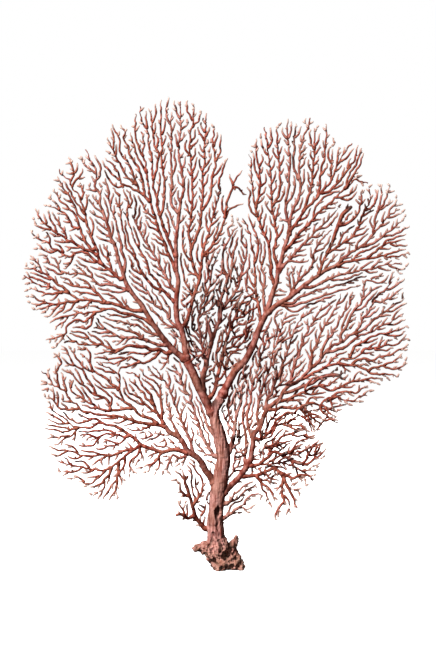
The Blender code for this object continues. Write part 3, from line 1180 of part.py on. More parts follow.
def main():
    clearScene()
    collection = bpy.data.collections.new(fanName)
    bpy.context.scene.collection.children.link(collection)
    growth = Growth(branches)
    growth.growAll()
    kept = chooseTwigs(growth.twigs)
    print(len(branches), "traced stems,", len(growth.twigs), "grown twigs,", len(kept), "kept")
    for stem in branches:
        if stem.parent is not None and stem.parent.piece == stem.piece:
            continue
        solid = Solid()
        if stem.parent is None:
            buildStem(solid, stem, 0, None, kept)
        else:
            first, corners = stem.start
            buildStem(solid, stem, first, (corners, True), kept)
        shade = 0.5 + 0.5 * math.sin(2.4 * len(solidNames))
        colour = (0.36 + 0.10 * shade, 0.12 + 0.05 * shade, 0.09 + 0.03 * shade)
        makeObject(stem.piece, solid, collection, colour)
        solidNames.append(stem.piece)
    print(len(solidNames), "pieces")


main()
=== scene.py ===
# A dried sea fan standing on its cut holdfast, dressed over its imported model.
# Lengths here are in millimetres, and the meshes are brought to metres when they are made.
import json
import math
import random
import bpy
import bmesh
from mathutils import Matrix, Vector, noise

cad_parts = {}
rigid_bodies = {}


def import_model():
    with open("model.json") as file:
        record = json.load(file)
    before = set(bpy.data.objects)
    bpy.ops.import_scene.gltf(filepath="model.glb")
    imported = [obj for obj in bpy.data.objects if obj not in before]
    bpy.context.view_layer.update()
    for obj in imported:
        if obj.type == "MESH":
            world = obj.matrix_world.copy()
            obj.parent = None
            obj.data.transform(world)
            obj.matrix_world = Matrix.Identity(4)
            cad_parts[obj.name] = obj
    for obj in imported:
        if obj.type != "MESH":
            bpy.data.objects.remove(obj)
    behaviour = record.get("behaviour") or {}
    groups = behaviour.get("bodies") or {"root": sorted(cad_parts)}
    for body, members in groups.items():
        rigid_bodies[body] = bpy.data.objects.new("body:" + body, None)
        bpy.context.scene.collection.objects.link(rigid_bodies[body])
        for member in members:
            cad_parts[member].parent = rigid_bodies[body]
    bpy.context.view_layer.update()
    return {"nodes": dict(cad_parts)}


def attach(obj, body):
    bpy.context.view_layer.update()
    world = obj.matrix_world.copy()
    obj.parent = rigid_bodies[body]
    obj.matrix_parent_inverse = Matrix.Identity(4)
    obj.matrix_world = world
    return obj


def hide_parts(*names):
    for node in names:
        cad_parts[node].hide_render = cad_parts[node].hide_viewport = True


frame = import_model()
millimetre = 0.001
print("frame loaded,", len(frame["nodes"]), "nodes")

growthHabit = {
    "step": 2.0,  # how far a tip grows at a time
    "seed": 7,
    "twigRadius": 0.92,  # a side twig
    "twigRoom": 2.75,  # the least distance between the middles of two twigs
    "forkGap": 6.5,  # the least growth between two forks of a twig
    "forkRoom": 3.4,  # the room that a new twig needs
    "aheadRoom": 12.0,  # how far on a new twig must find its way clear
    "depthLead": 50.0,  # how far a branch runs before it lies at its own depth
    "thinning": 1.3,  # how early a branch gets thin, 1 is evenly along it
    "trunkThinning": 0.75,
}


class Branch:  # one stem: its line, its radius along the line and what grows from it
    def __init__(self, name, piece, parent, at):
        self.name = name
        self.piece = piece
        self.parent = parent
        self.at = at
        self.line = []
        self.radii = []
        self.kids = []
        self.traced = False
        self.bornSide = 0
        if parent:
            parent.kids.append(self)


def evenLine(points, gap):  # the same line as a smooth curve with even gaps
    dense = []
    for i in range(len(points) - 1):
        a = points[max(i - 1, 0)]
        b = points[i]
        c = points[i + 1]
        d = points[min(i + 2, len(points) - 1)]
        for k in range(6):
            t = k / 6
            dense.append(0.5 * ((2 * b) + (c - a) * t + (2 * a - 5 * b + 4 * c - d) * t * t
                                + (3 * b - a - 3 * c + d) * t ** 3))
    dense.append(points[-1])
    lengths = [0.0]
    for i in range(1, len(dense)):
        lengths.append(lengths[-1] + (dense[i] - dense[i - 1]).length)
    count = max(2, round(lengths[-1] / gap))
    spaced = []
    k = 0
    for i in range(count + 1):
        along = lengths[-1] * i / count
        while k < len(lengths) - 2 and lengths[k + 1] < along:
            k += 1
        share = (along - lengths[k]) / max(1e-9, lengths[k + 1] - lengths[k])
        spaced.append(dense[k].lerp(dense[k + 1], share))
    return spaced, lengths[-1]


branches = []
byName = {}


def limb(name, parentName, piece, depth, footRadius, tipRadius, *across):  # across and up, in turn
    parent = byName.get(parentName)
    flat = [Vector((across[i], 0.0, across[i + 1])) for i in range(0, len(across), 2)]
    line, length = evenLine(flat, growthHabit["step"])
    at = 0
    startDepth = 0.0
    if parent:
        at = min(range(len(parent.line)),
                 key=lambda i: math.hypot(parent.line[i].x - line[0].x, parent.line[i].z - line[0].z))
        startDepth = parent.line[at].y
    stem = Branch(name, piece, parent, at)
    stem.traced = True
    last = len(line) - 1
    lead = min(length, growthHabit["depthLead"])
    for i, point in enumerate(line):
        share = min(1.0, length * i / last / lead)
        share = share * share * (3 - 2 * share)
        point.y = startDepth + (depth - startDepth) * share
        stem.line.append(point)
        slimming = (1 - i / last) ** (growthHabit["thinning"] if parent else growthHabit["trunkThinning"])
        stem.radii.append(tipRadius + (footRadius - tipRadius) * slimming)
    branches.append(stem)
    byName[name] = stem


# stems traced from the fan: name, what it grows from, its piece, depth, foot and tip radius, line
limb("trunk", None, "trunk", 0, 8.5, 4.3, 0,0, 0,12, 0,26, 0,35, -1,44, 0,53, 1,62, 2,71, 4,80, 5,89,
     7,98, 6,107, 4,116, 2,125, -1,134, -2,142, 1,148, 5,154)
limb("leftLimb", "trunk", "left_limb", 0, 4.0, 4.0, -2,137, -9,151, -14,161, -18,170, -22,179, -26,187)
limb("leftOuter", "leftLimb", "left_outer_limb", -8, 3.1, 0.75, -26,187, -32,192, -37,196, -41,200,
     -46,206, -51,213, -57,221, -62,230, -67,238, -72,244, -77,251, -81,258, -83,266, -86,274, -88,281,
     -90,289, -94,298, -96,307, -99,315, -101,322, -104,329, -104,336, -108,342, -108,348, -107,354,
     -109,360, -112,367, -115,373, -117,377)
limb("leftOuterA", "leftOuter", "left_shoulder_fan", -11, 1.6, 0.75, -86,260, -94,268, -100,272, -104,278,
     -107,288, -111,296, -113,304, -116,312, -117,321, -120,329, -122,336, -127,340, -130,345, -131,350,
     -137,353, -140,359)
limb("leftOuterA2", "leftOuterA", "left_shoulder_fan", -13, 1.1, 0.75, -116,312, -120,314, -123,319,
     -126,326, -130,332, -133,338, -136,342, -140,349, -141,352)
limb("leftOuterA3", "leftOuterA", "left_shoulder_fan", -12, 1.4, 0.75, -111,287, -116,293, -119,299,
     -121,305, -123,312, -126,318, -130,322, -134,327, -138,329, -140,333, -143,338, -146,340)
limb("leftOuterA4", "leftOuterA3", "left_shoulder_fan", -14, 1.1, 0.75, -121,306, -128,307, -130,313,
     -135,319, -140,322, -144,324, -148,327)
limb("leftOuterD", "leftOuterA", "left_shoulder_fan", -14, 1.4, 0.75, -105,281, -113,286, -119,288,
     -124,291, -130,294, -134,297, -139,300, -143,302, -148,306, -152,310, -156,313, -159,319, -162,323)
limb("leftOuterE", "leftOuterA", "left_shoulder_fan", -9, 1.3, 0.75, -102,274, -109,278, -115,284,
     -122,285, -127,283, -131,281, -137,284, -142,287, -147,288, -150,293, -155,295, -160,298, -164,302,
     -166,304)
limb("leftOuterB", "leftOuter", "left_side_fan", -12, 1.9, 0.75, -64,233, -71,232, -79,234, -86,237,
     -94,239, -100,239, -107,241, -115,242, -122,242, -128,245, -132,248, -140,250, -148,253, -155,254,
     -160,256, -165,259, -171,264)
limb("leftOuterB2", "leftOuterB", "left_side_fan", -14, 1.4, 0.75, -122,242, -126,240, -133,240, -140,238,
     -149,239, -154,241, -158,242, -162,245, -165,247)
limb("leftOuterB3", "leftOuterB", "left_side_fan", -9, 1.3, 0.75, -98,239, -104,246, -109,250, -113,253,
     -119,254, -125,254, -131,256, -137,258)
limb("leftOuterB4", "leftOuter", "left_outer_limb", -11, 1.4, 0.75, -76,250, -85,253, -92,255, -97,256,
     -103,255, -108,259, -113,263, -119,265, -125,266, -130,265, -135,266, -139,268, -143,272, -148,274,
     -152,277)
limb("leftOuterB5", "leftOuterB", "left_side_fan", -12, 1.3, 0.75, -131,248, -136,253, -141,256, -146,260,
     -149,263, -155,266, -157,271, -159,275, -163,279, -166,282)
limb("leftOuterB6", "leftOuterB5", "left_side_fan", -13, 1.0, 0.75, -154,266, -158,267, -162,270,
     -166,270, -171,270)
limb("leftOuterB7", "leftOuterB", "left_side_fan", -10, 1.2, 0.75, -136,249, -142,248, -148,247, -154,248,
     -160,250, -165,253)
limb("leftOuterC4", "leftOuter", "left_middle_fan", -14, 1.6, 0.75, -57,220, -63,224, -69,227, -76,229,
     -83,231, -88,232, -94,234, -102,232, -109,231, -115,230, -122,230, -130,228, -134,224, -138,220,
     -142,219)
limb("leftOuterC5", "leftOuterC4", "left_middle_fan", -17, 1.2, 0.75, -107,231, -112,226, -117,223,
     -122,224, -127,223, -131,220, -133,217, -134,212, -139,209, -145,207, -151,206)
limb("leftOuterC2", "leftOuter", "left_outer_limb", -11, 1.4, 0.75, -50,210, -57,212, -63,214, -70,219,
     -77,220, -85,223, -93,224, -99,226, -104,229)
limb("leftOuterC1", "leftOuter", "left_outer_limb", -8, 1.6, 0.85, -43,202, -50,201, -55,203, -60,205,
     -67,207, -76,209, -85,208, -91,211, -96,214, -102,219, -105,223, -107,226)
limb("leftOuterC6", "leftOuterC1", "left_outer_limb", -9, 1.3, 0.75, -65,207, -71,212, -79,214, -86,217,
     -92,217, -96,220, -101,222)
limb("leftOuterC7", "leftOuter", "left_under_fan", -12, 2.0, 0.8, -39,197, -44,194, -51,198, -57,197,
     -63,200, -70,200, -77,201, -85,198, -90,197, -95,199, -101,202, -107,202, -113,202, -121,202,
     -125,205, -130,207, -134,210)
limb("leftOuterC8", "leftOuterC7", "left_under_fan", -14, 1.2, 0.75, -85,198, -90,195, -95,196, -102,195,
     -109,194)
limb("leftOuterC9", "leftOuterC7", "left_under_fan", -16, 1.3, 0.75, -50,197, -53,193, -58,188, -66,186,
     -74,190, -79,190, -85,187, -90,185, -95,186, -101,186)
limb("leftOuterC10", "leftOuterC9", "left_under_fan", -14, 1.2, 0.75, -67,187, -73,185, -79,183, -85,181,
     -88,176)
limb("leftInner", "leftLimb", "left_inner_limb", 6, 3.1, 0.75, -26,187, -27,194, -28,200, -29,206,
     -31,215, -35,224, -36,233, -36,242, -35,251, -34,260, -36,269, -36,278, -36,287, -36,296, -35,305,
     -34,314, -33,323, -32,332, -29,341, -30,352, -32,364, -34,377, -32,391, -32,404, -32,413, -32,422)
limb("leftInnerM1", "leftInner", "left_crown_fan", 2, 1.7, 0.75, -36,267, -39,276, -43,284, -46,292,
     -49,298, -52,307, -55,318, -58,325, -59,332, -60,339, -61,346, -62,355, -63,364, -65,371, -66,376,
     -64,382, -66,388, -68,394)
limb("leftInnerM2", "leftInnerM1", "left_crown_fan", -2, 1.3, 0.75, -59,330, -64,336, -65,341, -66,348,
     -68,356, -71,363, -75,368, -78,375, -80,381, -83,386, -82,392, -84,396, -86,400)
limb("leftInnerM3", "leftInnerM2", "left_crown_fan", -4, 1.2, 0.75, -64,336, -69,340, -71,346, -74,354,
     -76,360, -79,366, -84,371, -86,377, -86,384, -88,390, -91,395, -93,400)
limb("leftInnerM4", "leftInnerM3", "left_crown_fan", -6, 1.2, 0.75, -71,346, -77,350, -82,356, -86,364,
     -90,371, -93,377, -95,383, -97,388)
limb("leftInnerM5", "leftInnerM3", "left_crown_fan", -3, 1.1, 0.75, -68,339, -74,342, -79,345, -85,347,
     -87,353, -89,359, -93,364, -97,366, -100,370)
limb("leftInnerN1", "leftInner", "middle_crown_fan", 4, 1.6, 0.75, -36,280, -40,289, -43,296, -46,304,
     -49,312, -51,320, -53,328, -54,336, -56,343, -57,352, -58,361, -58,370, -59,377, -61,384, -61,392,
     -64,399, -67,404, -68,411, -68,417)
limb("leftInnerN2", "leftInnerN1", "middle_crown_fan", 8, 1.3, 0.75, -57,350, -54,358, -53,366, -52,374,
     -55,381, -56,388, -57,395, -58,402, -59,410, -61,416)
limb("leftInnerN3", "leftInnerN1", "middle_crown_fan", 6, 1.3, 0.75, -51,317, -48,325, -47,333, -46,341,
     -46,350, -48,359, -49,368, -49,377, -49,386, -50,395, -50,404, -50,413, -49,423)
limb("leftInnerN4", "leftInnerM1", "left_crown_fan", 0, 1.2, 0.75, -62,356, -66,363, -69,368, -72,375,
     -74,382, -76,388, -77,393)
limb("leftInnerN5", "leftInnerM1", "left_crown_fan", 0, 1.1, 0.75, -65,371, -69,377, -71,383, -72,390,
     -73,397, -73,404, -73,410)
limb("leftInnerO1", "leftInner", "notch_fan", 10, 2.0, 0.75, -29,218, -26,224, -24,231, -22,239, -19,249,
     -16,258, -14,266, -13,276, -12,287, -9,296, -6,305, -4,314, -1,325, 2,334, 3,339, 5,346)
limb("leftInnerO2", "leftInnerO1", "notch_fan", 14, 1.4, 0.75, -12,282, -7,287, -3,293, 3,302, 9,318,
     13,325, 19,328, 25,330)
limb("leftInnerO3", "leftInnerO1", "right_crown_fan", 8, 1.4, 0.75, -15,261, -19,269, -22,277, -23,285,
     -23,294, -25,303, -23,314, -22,325, -21,337, -22,350, -22,359, -23,373, -24,384, -23,393, -21,404,
     -20,418)
limb("leftInnerO4", "leftInnerO3", "right_crown_fan", 11, 1.4, 0.75, -23,287, -19,296, -16,305, -14,314,
     -13,325, -12,336, -12,346, -12,357, -10,368, -11,379, -10,390, -9,400, -9,412)
limb("leftInnerO5", "leftInnerO4", "right_crown_fan", 13, 1.3, 0.75, -13,323, -7,332, -4,341, -4,352,
     -1,363, -1,374, -3,384, -2,393, -2,401)
limb("leftInnerO6", "leftInnerO5", "right_crown_fan", 11, 1.1, 0.75, -1,368, 4,375, 4,382, 4,388, 4,393)
limb("leftInnerP1", "leftInner", "left_inner_limb", 8, 1.4, 0.75, -36,249, -41,256, -46,265, -50,271,
     -54,279, -58,285, -62,292, -66,298, -69,305, -73,312, -76,320)
limb("leftInnerP2", "leftInner", "left_heart_fan", 0, 1.5, 0.75, -36,239, -42,245, -48,251, -52,258,
     -58,264, -61,271, -64,280, -68,287, -72,293, -75,300, -77,307, -80,316, -83,322)
limb("leftInnerP3", "leftInnerP2", "left_heart_fan", -4, 1.4, 0.75, -48,251, -55,253, -59,257, -64,263,
     -68,269, -70,276, -74,282, -78,285, -81,291, -82,298, -84,305, -85,313, -86,321, -86,329, -86,337)
limb("leftInnerP4", "leftInner", "left_inner_limb", 3, 1.4, 0.75, -32,215, -40,222, -45,230, -50,238,
     -53,245, -57,249, -58,253)
limb("leftInnerP5", "leftInnerP4", "left_inner_limb", -3, 1.2, 0.75, -48,234, -54,237, -58,243, -62,249,
     -66,256, -68,262)
limb("leftInnerQ1", "leftInner", "left_inner_limb", 9, 1.4, 0.75, -33,320, -40,328, -41,338, -40,346,
     -40,356, -41,364, -41,374, -40,382, -40,393, -41,404, -40,413)
limb("leftOuterR1", "leftOuter", "left_outer_limb", -4, 1.6, 0.75, -83,266, -81,276, -84,285, -85,293,
     -87,300, -89,308, -91,316, -94,323, -95,329, -98,335, -100,339)
limb("centre", "leftLimb", "centre_limb", 15, 2.9, 2.0, -12,158, -12,168, -11,176, -9,182, -8,190, -6,197,
     -4,206, -6,215, -8,223)
limb("centre1", "centre", "centre_limb", 18, 1.8, 1.1, -5,202, -2,210, 1,218, 3,226, 3,235, 5,244, 8,253,
     11,262, 14,271, 15,282, 18,291, 20,300)
limb("centre2", "centre", "centre_limb", 12, 1.4, 0.75, -7,192, -12,199, -14,208, -15,216, -16,225,
     -14,234, -11,242, -8,250, -5,258, -4,267, -2,276, 1,284)
limb("centre3", "centre1", "centre_limb", 22, 1.4, 0.75, 3,231, 9,238, 14,244, 19,252, 22,261, 25,271,
     27,281, 28,291, 26,300)
limb("centre4", "centre1", "centre_limb", 14, 1.3, 0.75, 11,262, 7,271, 6,280, 7,289, 11,296, 14,303,
     20,309)
limb("centre5", "leftLimb", "back_fan", 16, 2.0, 1.1, -8,152, -4,156, -1,161, 0,167, 2,175, 4,183, 6,192,
     8,201, 11,210, 14,219, 18,228, 22,237, 26,244)
limb("centre6", "centre5", "back_fan", 12, 1.4, 0.75, 3,181, 0,190, 1,199, 3,208, 5,215)
limb("rightLimb", "trunk", "right_limb", 3, 3.8, 0.75, 5,154, 8,161, 13,171, 18,179, 26,187, 31,196,
     35,205, 38,214, 42,223, 46,232, 49,241, 52,251, 55,260, 56,269, 59,278, 61,287, 64,296, 66,305,
     67,315, 70,325, 75,335, 76,346, 75,359, 76,377, 79,389, 84,400, 85,407)
limb("right1", "rightLimb", "right_top_left_fan", 10, 1.7, 0.75, 53,256, 50,265, 50,274, 49,283, 48,290,
     46,298, 42,306, 39,314, 36,325, 34,336, 33,346, 32,357, 32,368, 30,375)
limb("right2", "right1", "right_top_left_fan", 12, 1.3, 0.75, 36,325, 38,336, 40,346, 40,357, 38,368,
     36,378, 37,389)
limb("right3", "rightLimb", "right_top_fan", 7, 1.5, 0.75, 57,269, 54,277, 52,286, 54,294, 55,303, 53,312,
     51,325, 50,337, 50,348, 49,361, 47,374, 46,386, 44,399)
limb("right4", "right3", "right_top_fan", 9, 1.2, 0.75, 51,327, 56,336, 58,346, 58,357, 57,370, 56,381,
     55,392, 55,400)
limb("right5", "rightLimb", "right_limb", 0, 1.4, 0.75, 67,309, 63,320, 63,330, 65,341, 66,352, 67,363,
     66,374, 65,384, 64,394, 64,405)
limb("right6", "rightLimb", "right_limb", 5, 1.3, 0.75, 75,350, 71,359, 70,370, 71,381, 71,392, 72,402)
limb("right7", "rightLimb", "right_top_right_fan", -3, 1.6, 0.75, 66,300, 68,306, 73,312, 78,320, 82,326,
     87,330, 93,337, 97,342, 102,346, 105,353, 108,361, 112,368, 117,376, 122,383)
limb("right8", "right7", "right_top_right_fan", -5, 1.3, 0.75, 94,338, 101,339, 106,344, 112,350, 116,356,
     121,363, 124,368, 126,375, 128,381)
limb("right9", "right7", "right_top_right_fan", -1, 1.4, 0.75, 78,320, 81,329, 84,338, 86,347, 87,357,
     88,367, 89,377, 89,388, 88,397)
limb("right10", "right7", "right_top_right_fan", -2, 1.3, 0.75, 91,334, 93,344, 94,354, 96,364, 98,374,
     99,382, 99,392, 98,400)
limb("right11", "right7", "right_top_right_fan", -3, 1.1, 0.75, 104,349, 103,359, 104,368, 105,378)
limb("right12", "rightLimb", "right_shoulder_fan", -5, 1.7, 0.75, 61,286, 67,292, 72,298, 77,304, 83,310,
     89,317, 95,323, 101,328, 106,333, 112,338, 119,344, 125,350, 130,348, 136,346)
limb("right13", "right12", "right_shoulder_fan", -7, 1.3, 0.75, 115,341, 120,348, 124,354, 128,361,
     130,368, 132,374)
limb("right14", "rightLimb", "right_limb", -2, 1.6, 0.75, 56,266, 61,273, 67,279, 72,285, 77,291, 83,296,
     88,302, 94,308, 100,313, 105,319, 110,325)
limb("right15", "rightLimb", "right_heart_fan", 12, 1.5, 0.75, 41,222, 39,233, 37,243, 36,253, 36,263,
     35,273, 34,283, 32,292, 31,301, 28,310, 24,317)
limb("right16", "right15", "right_heart_fan", 14, 1.3, 0.75, 35,276, 38,287, 38,296, 36,304, 32,312,
     29,321)
limb("right17", "rightLimb", "right_limb", 9, 1.4, 0.75, 45,230, 43,240, 43,251, 44,261, 42,270, 40,280,
     41,290, 40,298)
limb("rightOuter", "rightLimb", "right_outer_limb", -6, 2.6, 0.8, 46,230, 54,237, 60,241, 67,245, 73,250,
     79,255, 86,260, 92,264, 97,268, 103,271, 108,273, 112,277, 117,282, 123,286, 130,290, 136,295,
     141,302, 148,310, 153,316, 158,320, 162,324)
limb("rightOuter1", "rightOuter", "right_outer_limb", -9, 1.5, 0.75, 67,245, 70,253, 74,259, 78,264,
     83,268, 86,276, 88,285, 93,293, 98,300, 104,305)
limb("rightOuter2", "rightOuter", "right_outer_top_fan", -3, 1.5, 0.75, 92,264, 95,274, 99,283, 104,287,
     111,291, 116,295, 122,298, 126,305, 130,314, 133,322, 138,330, 138,338, 137,343)
limb("rightOuter3", "rightOuter2", "right_outer_top_fan", -8, 1.2, 2.1, 99,283, 104,293, 107,302, 110,310,
     113,318, 118,323, 122,326)
limb("rightOuter4", "rightOuter3", "right_outer_top_fan", -11, 1.4, 0.75, 109,309, 117,310, 124,315,
     128,324, 130,333, 130,341)
limb("rightOuter5", "rightOuter", "right_outer_side_fan", -8, 1.4, 0.75, 104,271, 110,273, 117,276,
     124,277, 135,279, 148,281, 157,280, 164,281, 171,285)
limb("rightOuter6", "rightOuter5", "right_outer_side_fan", -11, 1.2, 0.75, 135,279, 142,285, 149,290,
     157,293, 163,295, 169,296)
limb("rightOuter7", "rightOuter", "right_outer_limb", -9, 1.4, 0.75, 130,290, 137,291, 144,295, 151,301,
     158,305, 163,310, 168,313)
limb("rightOuter8", "rightOuter", "right_outer_limb", -4, 1.3, 0.75, 141,302, 142,311, 144,320, 147,329,
     148,338, 148,346)
limb("rightOuter9", "rightOuter8", "right_outer_limb", -6, 1.1, 0.75, 144,320, 149,327, 153,335, 156,344)
limb("rightOuter10", "rightOuter", "right_outer_limb", -11, 1.5, 0.75, 78,254, 86,253, 93,257, 100,260,
     107,263, 115,265, 123,267, 131,269, 140,270, 149,273, 158,274, 166,275)
limb("rightOuter11", "rightOuter", "right_outer_limb", -5, 1.4, 0.75, 60,240, 68,239, 75,244, 82,247,
     89,250, 96,252, 104,254, 112,256, 120,259, 127,262, 135,264)
limb("rightOuter12", "rightOuter", "right_outer_limb", -12, 1.4, 0.75, 58,238, 62,237, 68,236, 74,238,
     80,240, 87,243, 94,245, 103,248, 110,250, 118,252, 125,254)
limb("lowerRight", "trunk", "lower_right_limb", -9, 3.1, 0.8, 3,65, 9,71, 14,76, 20,82, 24,88, 28,93,
     31,100, 32,107, 33,114, 34,122, 38,127, 41,132, 43,139, 46,144, 50,148, 57,154, 60,160, 67,166,
     73,169, 78,174, 84,180, 89,184, 94,190, 98,196, 104,201, 112,204, 118,209, 123,212, 128,218, 131,224,
     136,231, 139,237, 141,242, 146,248, 151,251, 158,259)
limb("lowerRight1", "lowerRight", "lower_right_limb", -12, 1.4, 0.75, 112,204, 112,212, 117,219, 120,227,
     124,234, 129,239, 131,246, 132,253, 134,259, 139,260, 145,257, 153,257)
limb("lowerRight2", "lowerRight", "lower_right_limb", -7, 1.5, 0.75, 98,196, 104,196, 110,198, 116,200,
     122,205, 128,210, 135,212, 142,215, 148,219, 155,222, 162,226, 168,230)
limb("lowerRight3", "lowerRight", "lower_right_side_fan", -13, 1.4, 0.8, 76,171, 81,173, 86,176, 92,179,
     97,182, 104,184, 109,186, 113,189, 119,190, 124,191, 130,194, 136,194, 141,195)
limb("lowerRight4", "lowerRight3", "lower_right_side_fan", -15, 1.3, 0.75, 119,190, 121,195, 124,201,
     130,204, 135,207, 140,210, 146,212, 153,213, 162,215, 169,219)
limb("lowerRight5", "lowerRight3", "lower_right_side_fan", -11, 1.2, 0.75, 130,194, 132,198, 139,198,
     146,200, 151,202, 157,202, 162,202, 166,206, 170,211)
limb("lowerRight6", "lowerRight3", "lower_right_side_fan", -16, 1.4, 0.75, 108,186, 115,184, 121,184,
     128,183, 133,180, 139,176, 144,176, 151,176, 157,176, 161,173)
limb("lowerRight7", "lowerRight6", "lower_right_side_fan", -13, 1.3, 0.75, 121,184, 126,188, 133,189,
     140,188, 146,191, 152,192, 157,194, 162,197, 167,199, 172,202)
limb("lowerRight8", "lowerRight6", "lower_right_side_fan", -18, 1.2, 0.75, 135,178, 140,181, 145,182,
     149,183, 155,181, 161,181, 166,183, 170,186)
limb("lowerRight9", "lowerRight8", "lower_right_side_fan", -17, 1.0, 0.75, 149,183, 153,186, 158,187,
     163,192, 166,194)
limb("lowerRight10", "lowerRight", "lower_right_limb", -6, 1.3, 1.9, 60,159, 68,160, 76,164, 85,167,
     91,171, 98,174, 106,175, 112,174)
limb("lowerRight11", "lowerRight", "lower_right_middle_fan", -11, 1.4, 0.75, 54,151, 61,152, 68,155,
     74,158, 80,160, 86,164, 94,166, 100,166, 105,169, 112,174)
limb("lowerRight12", "lowerRight11", "lower_right_middle_fan", -14, 1.3, 0.75, 92,166, 98,163, 104,161,
     110,164, 117,167, 122,171, 124,176, 130,178)
limb("lowerRight13", "lowerRight", "lower_right_under_fan", -16, 1.6, 0.75, 46,144, 53,144, 60,146,
     68,145, 76,146, 81,149, 86,150, 93,148, 96,152, 101,155, 108,155, 113,153, 121,152, 126,155, 130,157,
     135,157)
limb("lowerRight14", "lowerRight13", "lower_right_under_fan", -18, 1.2, 0.75, 103,155, 108,159, 113,160,
     121,160, 126,159, 130,164, 135,166)
limb("lowerRight15", "lowerRight13", "lower_right_under_fan", -19, 1.2, 0.75, 93,148, 94,143, 98,139,
     104,135, 109,133)
limb("lowerRight16", "lowerRight13", "lower_right_under_fan", -14, 1.3, 0.75, 75,146, 79,140, 83,135,
     84,130, 86,125, 90,126)
limb("lowerRight17", "lowerRight", "lower_right_limb", -5, 1.6, 0.75, 84,180, 85,188, 87,196, 91,204,
     94,212, 98,220, 103,227, 106,234, 110,241, 112,248)
limb("lowerRight18", "lowerRight", "lower_right_limb", -4, 1.6, 0.75, 67,166, 68,175, 70,183, 73,191,
     76,199, 79,207, 83,215, 87,223, 92,231, 95,238)
limb("lowerRight19", "lowerRight", "lower_right_limb", -2, 1.6, 0.75, 44,143, 46,152, 50,160, 53,168,
     57,176, 60,184, 63,193, 66,201, 68,209, 72,217, 76,225, 79,232)
limb("lowerRight20", "lowerRight", "lower_right_limb", 1, 1.5, 0.75, 39,129, 37,139, 38,148, 40,157,
     43,166, 46,175, 49,184, 51,192, 54,201, 57,210, 59,219, 62,227)
limb("lowerRight21", "lowerRight", "lower_right_limb", 4, 1.5, 0.75, 33,118, 29,127, 28,137, 30,147,
     32,156, 33,165, 36,174, 39,183, 41,192, 44,201, 47,210)
limb("lowerRight22", "lowerRight", "lower_right_limb", -9, 1.4, 0.75, 94,190, 95,198, 99,205, 104,212,
     108,219, 112,226, 116,233, 121,239)
limb("lowerRight23", "lowerRight", "lower_right_limb", -4, 1.3, 0.75, 123,212, 130,214, 137,220, 143,225,
     149,230, 157,235, 163,239, 169,244)
limb("lowerRight24", "lowerRight", "lower_right_limb", -10, 1.2, 0.75, 141,241, 148,240, 154,243, 160,247,
     167,253)
limb("low1", "lowerRight", "hanging_fan", -13, 2.0, 1.1, 22,84, 28,84, 36,85, 42,87, 48,90, 52,92, 58,88,
     63,86, 68,83, 73,85, 79,86, 84,85, 86,80)
limb("low2", "low1", "hanging_fan", -16, 1.6, 1.1, 58,88, 61,81, 65,73, 68,67, 70,62, 72,56)
limb("low3", "low2", "hanging_fan", -18, 1.3, 1.1, 60,82, 59,75, 59,69, 61,63, 57,58, 53,52, 53,46)
limb("low4", "lowerRight", "low_right_fan", -12, 1.8, 1.1, 29,94, 36,94, 41,97, 47,102, 52,106, 58,104,
     65,106, 70,111, 72,116)
limb("low5", "low4", "low_right_fan", -15, 1.4, 1.0, 58,104, 65,100, 71,97, 76,95, 81,101, 84,107, 87,112,
     93,118)
limb("low6", "low4", "low_right_fan", -10, 1.4, 1.0, 47,102, 50,110, 55,115, 60,120, 67,122, 73,124,
     79,126)
limb("low7", "low5", "low_right_fan", -17, 1.2, 1.0, 76,95, 83,96, 88,101, 94,105, 99,111)
limb("low8", "low1", "hanging_fan", -10, 1.4, 1.0, 36,85, 41,78, 47,74, 51,68, 52,62)
limb("low9", "trunk", "trunk", -12, 1.7, 1.1, 4,58, 7,58, 12,61, 15,66, 17,71)
limb("low10", "trunk", "trunk", -13, 1.5, 1.1, 3,43, 7,46, 13,50, 17,54, 22,58, 27,60)
limb("bush1", "trunk", "trunk", 5, 1.8, 1.3, 6,102, 12,105, 14,112, 16,122, 17,130, 19,140, 22,148,
     23,158, 25,166)
limb("bush2", "lowerRight", "lower_right_limb", 0, 1.7, 1.1, 27,92, 26,101, 27,110, 27,119, 25,128,
     24,137, 26,146, 28,155)
limb("bush3", "lowerRight", "low_right_bush", -12, 1.5, 1.0, 33,119, 40,117, 45,122, 50,126, 56,130,
     62,132, 68,135, 76,135)
limb("bush4", "bush3", "low_right_bush", -14, 1.3, 1.0, 50,126, 54,134, 59,139, 65,142, 72,140)
limb("lowerLeft", "trunk", "lower_left_limb", -8, 3.5, 2.1, 1,72, -4,82, -10,90, -14,98, -20,103, -25,106,
     -28,112, -32,118, -37,121, -42,124, -46,130)
limb("lowerLeftA", "lowerLeft", "lower_left_upper_fan", -10, 1.7, 0.8, -46,130, -50,137, -53,142, -56,149,
     -58,156, -61,161, -66,166, -69,172, -73,176, -76,177, -81,178)
limb("lowerLeftA2", "lowerLeftA", "lower_left_upper_fan", -8, 1.4, 0.75, -55,148, -60,152, -63,156,
     -67,161, -71,166, -76,169, -78,172)
limb("lowerLeftA3", "lowerLeftA", "lower_left_upper_fan", -12, 1.3, 0.75, -52,141, -58,144, -61,147,
     -65,150, -69,155, -75,158, -79,160, -80,164, -81,169, -83,174)
limb("lowerLeftA4", "lowerLeftA", "lower_left_upper_fan", -7, 1.4, 0.75, -49,135, -48,144, -50,152,
     -49,160, -52,166, -57,171, -61,172, -65,176, -65,180)
limb("lowerLeftB", "lowerLeft", "lower_left_side_fan", -13, 1.8, 0.75, -44,128, -52,130, -62,131, -71,133,
     -80,136, -86,138, -94,139, -101,140, -108,140, -113,142, -119,143, -122,146, -124,150, -129,152,
     -131,155, -134,160, -139,163, -142,165, -146,167, -149,172, -153,176, -156,179)
